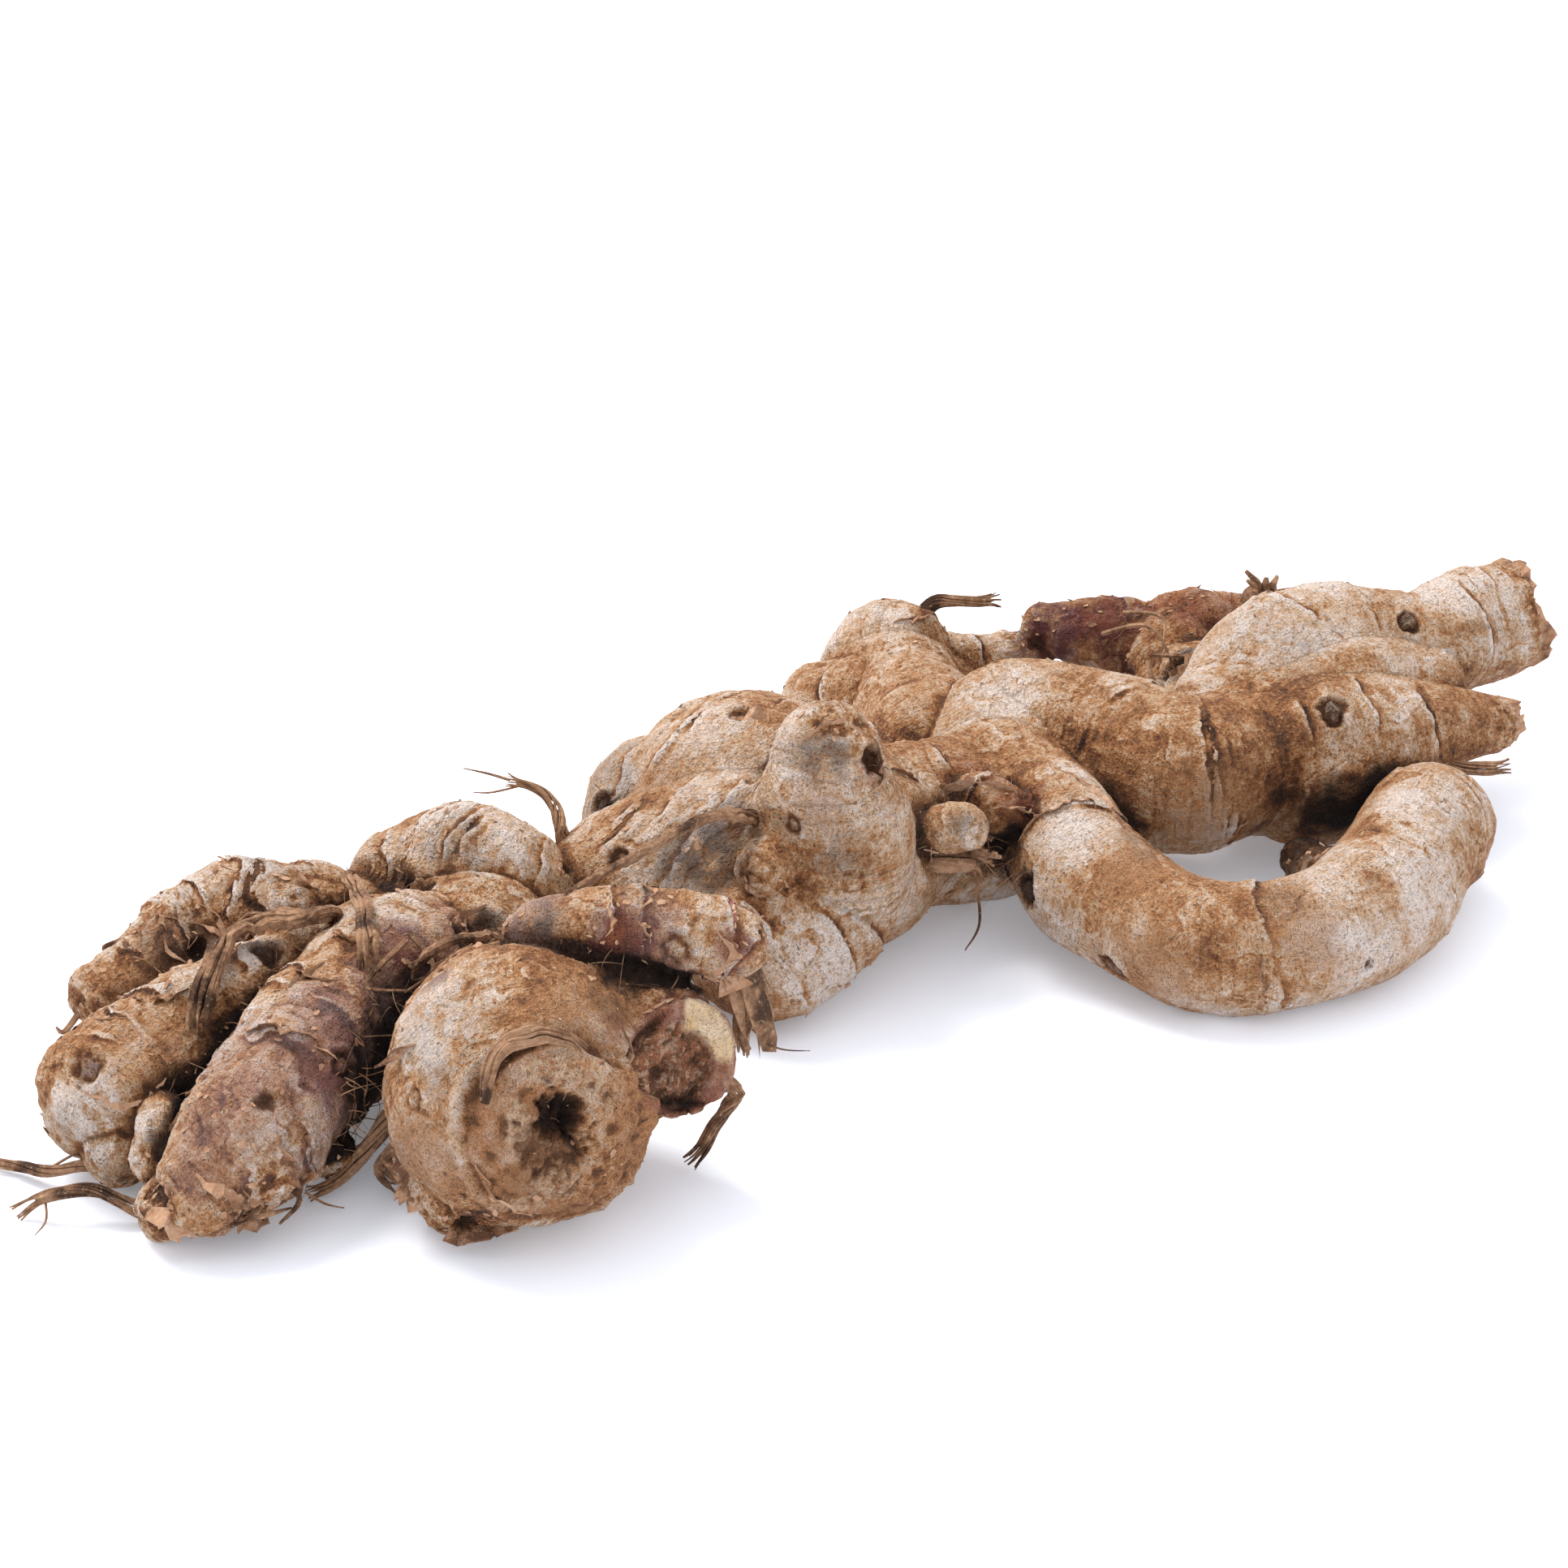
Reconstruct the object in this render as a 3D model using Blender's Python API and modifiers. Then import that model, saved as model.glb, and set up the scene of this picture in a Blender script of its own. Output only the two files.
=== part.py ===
"""Red ginger rhizome: one grown body of blunt fingers, lying on a flat surface.

Run with: blender --background --python part.py
The body's length runs along X, +Z is up, and the floor it lies on is z = 0.
Sizes below are in millimetres and are turned into metres by MM.
"""

import math

import bmesh
import bpy
import numpy as np
from mathutils import Matrix, Vector, noise

MM = 0.001

# Centre of the body's box on the floor, in the coordinates that the stations use.
ORIGIN = (-0.7, -9.2, 0.6)

# Each finger is a row of round stations from its root to its end: x, y, z of the centre and the radius.
# "rings" are the leaf scars, in millimetres from the first station, or along "grain" where the rings of
# neighbouring fingers run on as one. "height" is how far they stand up, and "cut" ends a finger flat.
FINGERS = {
    "axis_left": {
        "stations": [(-42, 1, 12, 8), (-31, 1, 11, 7.5), (-21, -3, 13, 10.3), (-12, -7, 14, 12.7),
                     (-2.5, -11, 14, 11.3)],
        "grain": (-0.37, 0.89, 0.29),
        "rings": [0.5, 4.5, 8, 12.5, 16, 20],
    },
    "axis_middle": {
        "stations": [(-1.5, -9.5, 13, 11.4), (10, -7, 13, 10), (25, -6.5, 10.2, 10.4), (31, -3, 12, 10.2),
                     (34, 2, 14.5, 9.4), (39.5, -3.5, 15, 9.5)],
        "rings": [8, 15, 27, 32],
    },
    "axis_right": {
        "stations": [(34, 2, 14.5, 9.2), (40, -4.5, 14.5, 10), (46, -17, 14, 9.7), (56.5, -19, 13.7, 9.1),
                     (64.5, -21, 12.5, 10.8), (71.5, -23, 13.5, 9), (79, -25, 14, 6.4),
                     (88, -27.5, 13.5, 3.8)],
        "rings": [10, 15, 26.5, 36, 48, 57],
    },
    "hump": {
        "stations": [(1, -11, 14, 11.8), (-3, -3, 16, 14.3), (-8, 3, 15.5, 14.4), (-11, 7, 14.3, 10.8)],
        "grain": (-0.37, 0.89, 0.29),
        "rings": [0.5, 4.5, 8, 12.5, 16, 20, 24],
    },
    "stump": {
        "stations": [(-14, -17, 10.2, 10), (-7, -15, 14, 11.2), (-5.5, -17, 20, 10), (-6, -17.5, 26, 8.3),
                     (-5.5, -16.5, 30, 6.4)],
        "rings": [-3.5, 1, 6.5, 23],
    },
    "front_bulb": {
        "stations": [(-44, -3, 9.5, 7), (-50, -18, 9, 7.5), (-56, -31.5, 15, 13.6),
                     (-59.7, -38, 14.7, 14.2)],
        "rings": [28, 35, 41],
    },
    "bulb_shoulder": {
        "stations": [(-58, -30, 17, 9.5), (-51, -34.5, 16.8, 9.4), (-44.8, -37.5, 17.8, 7.8)],
        "rings": [],
    },
    "bulb_heel": {
        "stations": [(-63, -34, 9.5, 7), (-66.5, -37, 7, 6.4)],
        "rings": [],
    },
    "cut_stub": {
        "stations": [(-48, -33, 12.5, 8), (-44, -38, 14.6, 7.2), (-44, -41.8, 16.1, 6.4),
                     (-44.9, -45.2, 17.6, 5.8)],
        "rings": [7],
        "cut": True,
    },
    "purple_finger": {
        "stations": [(-47, -3, 13.5, 7), (-59.5, -7.5, 14, 8.5), (-72.5, -15.5, 12.5, 8.5),
                     (-83, -22, 10.3, 7.8), (-89.5, -23.8, 7.2, 6.2)],
        "rings": [17, 24, 30, 35, 41, 47],
    },
    "purple_lobe": {
        "stations": [(-75.5, -17.5, 8, 5.2), (-75, -21.5, 5.5, 3.8)],
        "rings": [],
    },
    "purple_toe": {
        "stations": [(-88, -23.5, 6, 5), (-92.7, -21.8, 4.7, 4.1)],
        "rings": [],
    },
    "left_finger": {
        "stations": [(-50, 0, 12.5, 7), (-59, -1, 13, 7), (-70, -2.5, 12.5, 7.6), (-79, -2.5, 11, 8.1),
                     (-85, -3.5, 9.5, 8.6), (-90.4, -5, 9, 8.3)],
        "rings": [10, 16, 22, 27, 32, 38, 43.5],
    },
    "left_lobe": {
        "stations": [(-90, -6, 8, 6.4), (-92.3, -8.5, 6, 5.2)],
        "rings": [],
    },
    "left_nub": {
        "stations": [(-87, -9, 9, 3.4), (-90.5, -14, 10.5, 2.9), (-91.5, -15.8, 7, 2.9)],
        "rings": [],
    },
    "back_left_finger": {
        "stations": [(-45, 5, 11.5, 6), (-51, 9, 11.5, 6.6), (-57, 11.5, 12.5, 7.2), (-63.5, 14.5, 13, 7.4),
                     (-69.5, 16.2, 11.5, 7), (-76, 15.5, 10.3, 5.8), (-81, 15.5, 9.5, 4.2)],
        "rings": [10, 15, 18.5, 22, 25.5, 29, 32, 35.5],
    },
    "second_hump": {
        "stations": [(-35, 1, 12, 8.4), (-39.5, 4, 14.2, 10), (-41.5, 9, 14, 9.4),
                     (-44.5, 11.5, 13.5, 7.6)],
        "rings": [2.5, 6, 9.5, 12.5, 16],
    },
    "second_front": {
        "stations": [(-40, 1, 11.5, 9), (-46, -3.5, 11.5, 10)],
        "rings": [],
    },
    "loop": {
        "stations": [(28, -6, 14, 8), (26.7, -17.5, 13, 7.3), (24.2, -26, 11, 7.7), (24.3, -35.5, 9.5, 7.6),
                     (26.8, -43.5, 8.2, 7.8), (33.5, -48.7, 8, 7.7), (43, -50.3, 8.2, 7.7),
                     (53.5, -47.2, 8.7, 8.2), (62.5, -42, 9.3, 7.9), (67.3, -39.5, 10, 7.6)],
        "rings": [17, 47, 67, 84],
    },
    "loop_heel": {
        "stations": [(52.5, -43, 7, 6), (52.5, -37, 6, 4), (54, -32, 6, 3)],
        "rings": [],
    },
    "far_finger": {
        "stations": [(59, -14, 14, 9.8), (68.5, -9.5, 17.5, 9.9), (78, -9, 18.5, 9.2),
                     (83.5, -10.5, 18.5, 7.8), (89, -13.5, 18.5, 6.8), (97, -13.5, 19, 7.6),
                     (103.5, -14, 19, 7.5)],
        "rings": [4, 14, 24, 32, 37, 42.5],
        "cut": True,
    },
    "far_web": {
        "stations": [(61, -16, 15.5, 8.6), (74, -15.5, 16, 8.6), (84, -18, 15.2, 6.4)],
        "rings": [],
    },
    "back_finger": {
        "stations": [(29, 9.5, 13, 7.9), (35, 22, 11, 8.5), (38.5, 31.5, 11, 9), (39, 32, 12.7, 8.4)],
        "rings": [8, 17, 24],
    },
    "back_foot": {
        "stations": [(33, 20, 9, 8), (36, 27, 7.8, 8)],
        "rings": [],
    },
    "back_knob": {
        "stations": [(40, 24.5, 10, 6.7), (33, 26, 10, 7.7), (28, 30.5, 9.5, 6.2)],
        "rings": [6, 12],
    },
    "back_top": {
        "stations": [(39.5, 30.5, 14, 7.2), (42, 33, 14, 5.2)],
        "rings": [],
    },
    "back_bridge": {
        "stations": [(45.5, 30, 10, 6), (52, 28.5, 10, 4.2), (58, 26.5, 10.5, 3.6)],
        "rings": [6],
    },
    "back_bud_left": {
        "stations": [(62, -8, 12, 8), (69.5, 10.5, 11, 6.3), (69, 18, 13, 5.8), (63, 22.5, 14, 4.8),
                     (60, 26, 14, 3.5)],
        "rings": [12, 22, 27, 32],
    },
    "back_bud_right": {
        "stations": [(69.5, 10.5, 12, 6.3), (71.5, 16, 13, 6.1), (77, 13.5, 14, 5.3), (83, 11.5, 15, 3.8)],
        "rings": [5, 10],
    },
    "bud_finger": {
        "stations": [(-57, -27, 20, 5), (-52.5, -29.5, 26.3, 4.6), (-49.5, -32, 27.9, 4.4),
                     (-44.5, -36, 28, 4.8), (-39.3, -39.2, 27.5, 4.8), (-35.6, -41.8, 26.6, 3.9)],
        "rings": [15.6, 21, 27.3, 30.5],
        "height": 0.9,
    },
    "stump_nub": {
        "stations": [(-13, -18, 19.5, 4.4), (-16.5, -18.8, 20.5, 2.8)],
        "rings": [],
    },
    "grey_bud": {
        "stations": [(-3, -16, 17, 5), (4.5, -18.5, 18, 3.2), (8, -21, 19, 3.2), (9.5, -22.3, 19.5, 2.9)],
        "rings": [8],
    },
    "red_bud": {
        "stations": [(13, -5, 15, 4), (15, -9, 16, 3.4), (17.5, -14, 17, 3.8), (20, -17.5, 16.5, 3.3),
                     (22.5, -20.5, 16.5, 1.4)],
        "rings": [5, 9, 12],
    },
}

# Scars that roots, shoots and stems left: x, y, z of the centre, its radius, and how far the rim stands up,
# the inside sinks and the peg of old root stands up.
SCARS = [
    (-95, -7, 15.5, 2.3, 0.7, 1.0, 0.5),        # eye at the end of the left finger
    (-71.5, -4, 19.5, 2.2, 0.5, 1.5, 0.8),      # dark eye under the strap root
    (-72, 11, 14, 1.6, 0.5, 1.2, 0.0),
    (-73, -24, 17, 1.8, 0.9, 0.8, 0.9),         # pale ring on the purple finger
    (-83.5, -28, 14, 1.8, 0.2, 1.2, 0.0),
    (-90.5, -24, 14.5, 1.6, 0.4, 0.9, 0.3),
    (-48.5, 2.5, 19, 2.4, 0.7, 0.8, 1.3),       # peg on the second hump
    (-22, 7, 19.5, 1.9, 0.6, 1.2, 0.5),
    (-27, -6.5, 19.5, 1.6, 0.5, 1.1, 0.4),
    (-6, -3.5, 31, 2.0, 0.4, 1.4, 0.0),         # torn flap on the hump
    (-5, -23.3, 30.5, 2.9, 0.6, 2.2, 0.0),      # torn hole on the stump
    (-14, -20.5, 26, 1.9, 0.4, 1.2, 0.6),
    (-9, -26, 19.5, 2.2, 0.6, 0.5, 0.4),        # flat eye on the stump
    (63, -26.5, 21.5, 2.4, 0.6, 1.7, 1.6),      # peg on the axis
    (84.5, -15.5, 24, 1.9, 0.5, 1.6, 1.2),
    (17.5, -28, 11.5, 2.8, 0.5, 1.8, 0.5),      # torn eye at the start of the loop
    (17.5, -40.5, 7.5, 2.6, 0.4, 1.0, 0.8),
    (36, -57, 10.5, 4.2, 0.4, 0.3, 0.0),        # broad flat scar outside the loop
    (63, -46, 16.5, 1.6, 0.3, 0.8, 0.3),
    (61.5, 1, 17, 3.2, 0.3, 2.0, 0.0),          # dark hollow beside the back buds
    (-43, -43, 29, 2.0, 0.6, 0.7, 0.3),         # eye on the bud finger
    (-63.5, -50.5, 18, 9.5, 1.2, 0.8, 0.0),     # scar of the old stem on the front bulb
    (-63.5, -51.5, 18, 6.2, 0.9, 1.0, 0.0),
    (-62, -52.5, 17.5, 2.8, 0.2, 1.9, 0.0),     # its rotted pith
    (-45, -46, 18, 4.7, 0.8, 1.2, 0.0),         # broken end of the cut stub
]

# Dried roots: rows of x, y, z and radius, from where each leaves the body to its tip.
ROOTS = {
    "strap_over_purple": [
        (-53, 10, 17.5, 0.9), (-56.5, 3, 20.8, 1), (-59.5, -4.5, 22.5, 1), (-62.5, -10.5, 23.2, 1),
        (-64.5, -14.5, 22.8, 1.2), (-65, -15.5, 19.5, 1),
    ],
    "strap_over_left": [
        (-60.5, 0, 18.5, 1), (-63.5, -3.4, 21.3, 1.3), (-67.5, -3, 21.8, 1.5), (-71, -2, 22, 1.5),
        (-74.5, -2.5, 21.7, 1.5), (-78, -5.4, 20.8, 1.4), (-80.7, -7.8, 19.3, 1.4),
        (-82.3, -9.2, 16.8, 1.3), (-82, -8.5, 14, 1.1),
    ],
    "twist_behind_bulb": [
        (-51, -17.5, 21, 1), (-56, -23, 25, 1.1), (-58.6, -22.8, 25.3, 1.1), (-60.2, -20.5, 23.3, 1),
        (-59.5, -15.5, 19, 0.9),
    ],
    "strip_over_hump": [
        (-12.5, -14, 22.5, 0.9), (-18.5, -16, 26, 1.1), (-24, -17.6, 27.2, 1.1), (-30, -20.5, 28.2, 1),
        (-37, -24.2, 29.4, 0.9), (-43.5, -27.8, 30.8, 0.8), (-49.5, -30.5, 31.2, 0.8),
        (-52, -31, 29.5, 0.8),
    ],
    "ground_root_front": [
        (-89, -24, 6, 1.1), (-92, -21.5, 2.6, 1), (-94, -17.7, 2.1, 0.9), (-96, -15.8, 3.4, 0.8),
        (-98, -13.6, 4.2, 0.75), (-100.3, -11.9, 4, 0.7), (-102.5, -10, 2.8, 0.7),
        (-105, -9.5, 1.5, 0.65),
    ],
    "ground_root_back": [
        (-89.5, -9.5, 7, 0.9), (-93.5, -9.5, 4, 0.8), (-96.2, -7.2, 3.3, 0.75), (-98.9, -4.7, 2.4, 0.7),
        (-100.6, -1, 1.8, 0.65), (-102, 1.2, 1.5, 0.65), (-103.5, 3.2, 1.5, 0.6),
    ],
    "tuft_left": [
        (-67, -25, 10, 1), (-71.6, -24.8, 5.5, 1), (-73.3, -24.2, 3.4, 0.9), (-75.8, -24.1, 2.2, 0.8),
        (-78, -23.7, 1.7, 0.7),
    ],
    "tuft_right": [
        (-66.5, -28, 9, 0.9), (-70.8, -27.2, 4.8, 0.8), (-70.5, -27.5, 2.8, 0.8), (-69.5, -28, 1.9, 0.8),
    ],
    "hanging_stub_root": [
        (-40.5, -42, 14, 0.9), (-37.4, -44.3, 10.8, 0.9), (-38.3, -43.7, 8.3, 0.9),
        (-39, -42.6, 5.8, 0.85), (-40.4, -42.2, 3.4, 0.8), (-41.4, -41.6, 1.8, 0.75),
    ],
    "notch_root": [
        (-28.6, 3, 15.5, 0.9), (-28.8, 3.5, 19.3, 0.8), (-28.3, 5.2, 21, 0.7), (-28.6, 6.8, 22.4, 0.65),
        (-29.8, 8.4, 23.4, 0.6), (-31.8, 10.3, 24, 0.6),
    ],
    "sheath": [
        (-35, -40, 23.5, 1.4), (-33.5, -40, 19.5, 1.7), (-32.8, -39.6, 16.5, 1.5),
        (-33.2, -39.4, 13.5, 1.2), (-32.6, -39.2, 11, 0.8),
    ],
    "back_root": [
        (41, 30, 17.5, 1.1), (44, 29.4, 20.4, 1), (46.2, 27.8, 20.8, 0.8), (48.7, 26, 20.8, 0.8),
        (51.2, 25.2, 20.8, 0.8),
    ],
    "bracket_root": [
        (0.5, -14.5, 13, 1.3), (5.7, -19.4, 14.5, 1.3), (8.2, -21.4, 15, 1.4), (11, -23, 15, 1.4),
        (12.3, -24.2, 14.2, 1.6),
    ],
    "tip_root": [
        (74.5, -25.5, 11.8, 0.9), (78.1, -29, 11.3, 0.9), (79.8, -32, 11.3, 0.9), (82, -34, 11.5, 0.85),
        (84.1, -35.6, 12, 0.7),
    ],
    "back_stub": [
        (83, 11.8, 15.5, 2), (82.9, 10, 18.5, 2.1), (83.1, 9.2, 20.5, 2),
    ],
}

STEP = 1.5               # spacing of a path's points
FINE = 40                # points between two stations while a path is measured
CAP_ANGLES = (25, 45, 62, 76, 86)   # degrees round the half ball on a finger's end
SIDES = 4                # bevel resolution of a finger's tube
ROOT_SIDES = 1           # bevel resolution of a dried root, which makes it six-sided
WELD = 0.01              # how near points are merged

VOXEL = 0.9              # grain at which the fingers are fused into one body
SMOOTH_ROUNDS = 2
BODY_FACES = 10200       # triangles kept on the fused body

RING_HEIGHT = 0.8
RING_RISE = 1.8          # length of the slow rise to a ring's edge
RING_DROP = 0.5          # and of the drop behind it
GROOVE_PLACE = 1.6       # how far past the edge the groove lies
GROOVE_WIDTH = 0.9
GROOVE_DEPTH = 0.5       # as a share of the ring's height
RING_LEAN = 1.0          # how far a ring leans out of its plane
BLEND = 2.0              # how near another finger has to be before the rings fade

RIM_WIDTH = 0.28         # of a scar's rim, as a share of the radius
RIM_WIDEST = 1.0         # and at most
HOLLOW_SLOPE = 1.6       # how steeply a scar's inside falls, over its radius
PEG_SIZE = 0.42          # of a scar's peg, as a share of the radius

LUMP_SIZE = 12.0         # wavelength of the uneven swelling
LUMP_HEIGHT = 0.9

FLOOR_CUTTER = (400, 300, 40)   # size of the block that cuts the body off at the floor
SKIN_COLOR = (0.42, 0.28, 0.17, 1)


def catmull(rows, t):
    """Point at parameter t of a smooth curve through the rows."""
    last = len(rows) - 1
    i = min(int(t), last - 1)
    f = t - i
    p = [rows[min(max(i + k, 0), last)] for k in (-1, 0, 1, 2)]
    return 0.5 * (2 * p[1] + (p[2] - p[0]) * f + (2 * p[0] - 5 * p[1] + 4 * p[2] - p[3]) * f**2
                  + (3 * p[1] - p[0] - 3 * p[2] + p[3]) * f**3)


def path_of(stations):
    """Rows of x, y, z, radius and distance from the root, one every STEP, in millimetres."""
    rows = np.array(stations, float)
    fine = np.array([catmull(rows, t) for t in np.linspace(0, len(rows) - 1, FINE * (len(rows) - 1))])
    run = np.concatenate([[0], np.cumsum(np.linalg.norm(np.diff(fine[:, :3], axis=0), axis=1))])
    wanted = np.linspace(0, run[-1], max(3, round(run[-1] / STEP) + 1))
    columns = [np.interp(wanted, run, fine[:, k]) for k in range(4)]
    return np.column_stack(columns + [wanted])


def rounded_ends(path, cut):
    """The path with a half ball added at its root and, unless it is cut, at its end."""
    balls = [math.sin(math.radians(a)) for a in CAP_ANGLES]

    def cap(end, before):
        way = end[:3] - before[:3]
        way /= np.linalg.norm(way)
        return [np.append(end[:3] + way * end[3] * b, end[3] * math.sqrt(1 - b * b)) for b in balls]

    rows = [row[:4] for row in path]
    head = cap(path[0], path[1])[::-1]
    tail = [] if cut else cap(path[-1], path[-2])
    return head + rows + tail


def tube(name, rows, sides):
    """A closed tube mesh object through rows of x, y, z and radius in millimetres."""
    curve = bpy.data.curves.new(name, "CURVE")
    curve.dimensions = "3D"
    curve.bevel_depth = 1.0
    curve.bevel_resolution = sides
    curve.use_fill_caps = True
    spline = curve.splines.new("POLY")
    spline.points.add(len(rows) - 1)
    for point, row in zip(spline.points, rows):
        point.co = (row[0] * MM, row[1] * MM, row[2] * MM, 1)
        point.radius = row[3] * MM
    holder = bpy.data.objects.new(name, curve)
    bpy.context.scene.collection.objects.link(holder)
    bpy.context.view_layer.update()
    mesh = bpy.data.meshes.new_from_object(holder.evaluated_get(bpy.context.evaluated_depsgraph_get()))
    bpy.data.objects.remove(holder)
    solid = bpy.data.objects.new(name, mesh)
    bpy.context.scene.collection.objects.link(solid)
    tidy = bmesh.new()
    tidy.from_mesh(mesh)
    bmesh.ops.remove_doubles(tidy, verts=tidy.verts, dist=WELD * MM)
    bmesh.ops.recalc_face_normals(tidy, faces=tidy.faces)
    tidy.to_mesh(mesh)
    tidy.free()
    return solid


def fuse(solids, name):
    """The solids as one body with a single outer surface."""
    bpy.ops.object.select_all(action="DESELECT")
    for solid in solids:
        solid.select_set(True)
    bpy.context.view_layer.objects.active = solids[0]
    bpy.ops.object.join()
    body = bpy.context.view_layer.objects.active
    body.name = body.data.name = name
    remesh = body.modifiers.new("Fuse", "REMESH")
    remesh.mode = "VOXEL"
    remesh.voxel_size = VOXEL * MM
    smooth = body.modifiers.new("Soften", "SMOOTH")
    smooth.factor = 0.5
    smooth.iterations = SMOOTH_ROUNDS
    bake(body)
    return body


def bake(body):
    """Applies every modifier of the object."""
    bpy.context.view_layer.update()
    mesh = bpy.data.meshes.new_from_object(body.evaluated_get(bpy.context.evaluated_depsgraph_get()))
    body.modifiers.clear()
    old = body.data
    body.data = mesh
    bpy.data.meshes.remove(old)


def ring_profile(gap):
    """Height of a leaf-scar ring at a signed distance from it: a slow rise, a sharp drop and a groove."""
    ridge = np.where(gap < 0, np.exp(gap / RING_RISE), np.exp(-gap / RING_DROP))
    return ridge - GROOVE_DEPTH * np.exp(-(((gap - GROOVE_PLACE) / GROOVE_WIDTH) ** 2))


def nearest_finger(points, paths):
    """For each point: its finger, the distance along it, the turn about it, and how clear the choice is."""
    best = np.full(len(points), np.inf)
    second = np.full(len(points), np.inf)
    which = np.zeros(len(points), int)
    along = np.zeros(len(points))
    turn = np.zeros(len(points))
    for k, path in enumerate(paths.values()):
        tangent = np.gradient(path[:, :3], axis=0)
        tangent /= np.linalg.norm(tangent, axis=1)[:, None]
        gap = np.linalg.norm(points[:, None, :] - path[None, :, :3], axis=2) - path[None, :, 3]
        i = gap.argmin(axis=1)
        near = gap[np.arange(len(points)), i]
        off = points - path[i, :3]
        s = path[i, 4] + (off * tangent[i]).sum(axis=1)
        side = np.cross(tangent[i], (0.15, -0.35, 1.0))
        side /= np.linalg.norm(side, axis=1)[:, None]
        up = np.cross(side, tangent[i])
        angle = np.arctan2((off * side).sum(axis=1), (off * up).sum(axis=1))
        closer = near < best
        second = np.where(closer, best, np.minimum(second, near))
        best = np.where(closer, near, best)
        which = np.where(closer, k, which)
        along = np.where(closer, s, along)
        turn = np.where(closer, angle, turn)
    clear = np.clip((second - best) / BLEND, 0.25, 1)
    return which, along, turn, clear


def ring_rise(points, paths):
    """Height of the leaf-scar rings at each point."""
    which, along, turn, clear = nearest_finger(points, paths)
    rise = np.zeros(len(points))
    for k, finger in enumerate(FINGERS.values()):
        mine = which == k
        place = along[mine]
        height = finger.get("height", RING_HEIGHT)
        if "grain" in finger:
            place = points[mine] @ np.array(finger["grain"])
        for j, ring in enumerate(finger["rings"]):
            lean = RING_LEAN * np.sin(turn[mine] + 1.7 * k + 2.1 * j)
            rise[mine] += height * ring_profile(place + lean - ring)
    return rise * clear


def scar_rise(points, normals):
    """Height of the rims, hollows and pegs of the scars at each point."""
    rise = np.zeros(len(points))
    for x, y, z, radius, rim, hollow, peg in SCARS:
        centre = points[np.linalg.norm(points - (x, y, z), axis=1).argmin()]
        facing = normals[np.linalg.norm(points - centre, axis=1).argmin()]
        away = np.linalg.norm(points - centre, axis=1)
        here = (away < 2 * radius) & (normals @ facing > 0.2)
        d = away[here] / radius
        width = min(RIM_WIDTH, RIM_WIDEST / radius)
        rise[here] += rim * np.exp(-(((d - 1) / width) ** 2))
        rise[here] -= hollow * np.clip(HOLLOW_SLOPE * (1 - d), 0, 1)
        rise[here] += (peg + hollow) * np.exp(-((d / PEG_SIZE) ** 4)) * (peg > 0)
    return rise


def shape_surface(body, paths):
    """Raises the rings, scars and uneven swelling of the skin, by formula."""
    mesh = body.data
    count = len(mesh.vertices)
    points = np.empty(count * 3)
    mesh.vertices.foreach_get("co", points)
    points = points.reshape(-1, 3) / MM
    normals = np.empty(count * 3)
    mesh.vertices.foreach_get("normal", normals)
    normals = normals.reshape(-1, 3)
    rise = ring_rise(points, paths) + scar_rise(points, normals)
    rise += [LUMP_HEIGHT * noise.noise(Vector(p) / LUMP_SIZE) for p in points]
    points += normals * rise[:, None]
    mesh.vertices.foreach_set("co", (points * MM).ravel())
    mesh.update()


def thin_out(body, faces):
    """Keeps about this many triangles, more where the surface bends."""
    triangles = sum(len(p.vertices) - 2 for p in body.data.polygons)
    fewer = body.modifiers.new("Fewer", "DECIMATE")
    fewer.ratio = faces / triangles
    fewer.use_collapse_triangulate = True
    bake(body)


def add_roots(body):
    """Joins the dried roots to the body with one union."""
    group = bpy.data.collections.new("dried_roots")
    bpy.context.scene.collection.children.link(group)
    for name, rows in ROOTS.items():
        root = tube(name, rows, ROOT_SIDES)
        bpy.context.scene.collection.objects.unlink(root)
        group.objects.link(root)
    join = body.modifiers.new("Roots", "BOOLEAN")
    join.operation = "UNION"
    join.operand_type = "COLLECTION"
    join.collection = group
    bake(body)
    for root in list(group.objects):
        bpy.data.objects.remove(root)
    bpy.data.collections.remove(group)


def flatten_foot(body):
    """Cuts the body off at the floor, which leaves the flat spots that it rests on."""
    bpy.ops.mesh.primitive_cube_add(size=1)
    slab = bpy.context.object
    slab.name = "floor_cutter"
    slab.scale = [size * MM for size in FLOOR_CUTTER]
    slab.location = (0, 0, -FLOOR_CUTTER[2] / 2 * MM)
    bpy.ops.object.transform_apply(location=True, scale=True)
    cut = body.modifiers.new("Foot", "BOOLEAN")
    cut.operation = "DIFFERENCE"
    cut.object = slab
    bake(body)
    bpy.data.objects.remove(slab)


def skin_material():
    material = bpy.data.materials.new("skin")
    material.use_nodes = True
    shader = material.node_tree.nodes["Principled BSDF"]
    shader.inputs["Base Color"].default_value = SKIN_COLOR
    shader.inputs["Roughness"].default_value = 0.8
    shader.inputs["Metallic"].default_value = 0.0
    return material


def main():
    for obj in list(bpy.data.objects):
        bpy.data.objects.remove(obj)
    paths = {name: path_of(finger["stations"]) for name, finger in FINGERS.items()}
    tubes = [tube(name, rounded_ends(paths[name], FINGERS[name].get("cut")), SIDES) for name in FINGERS]
    body = fuse(tubes, "rhizome")
    shape_surface(body, paths)
    thin_out(body, BODY_FACES)
    add_roots(body)
    body.data.transform(Matrix.Translation(-Vector(ORIGIN) * MM))
    flatten_foot(body)
    body.data.materials.clear()
    body.data.materials.append(skin_material())
    body.data.shade_smooth()


main()
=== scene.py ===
import math
import random

import bmesh
import bpy
import numpy as np
from mathutils import Matrix, Vector
from mathutils.bvhtree import BVHTree


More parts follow.
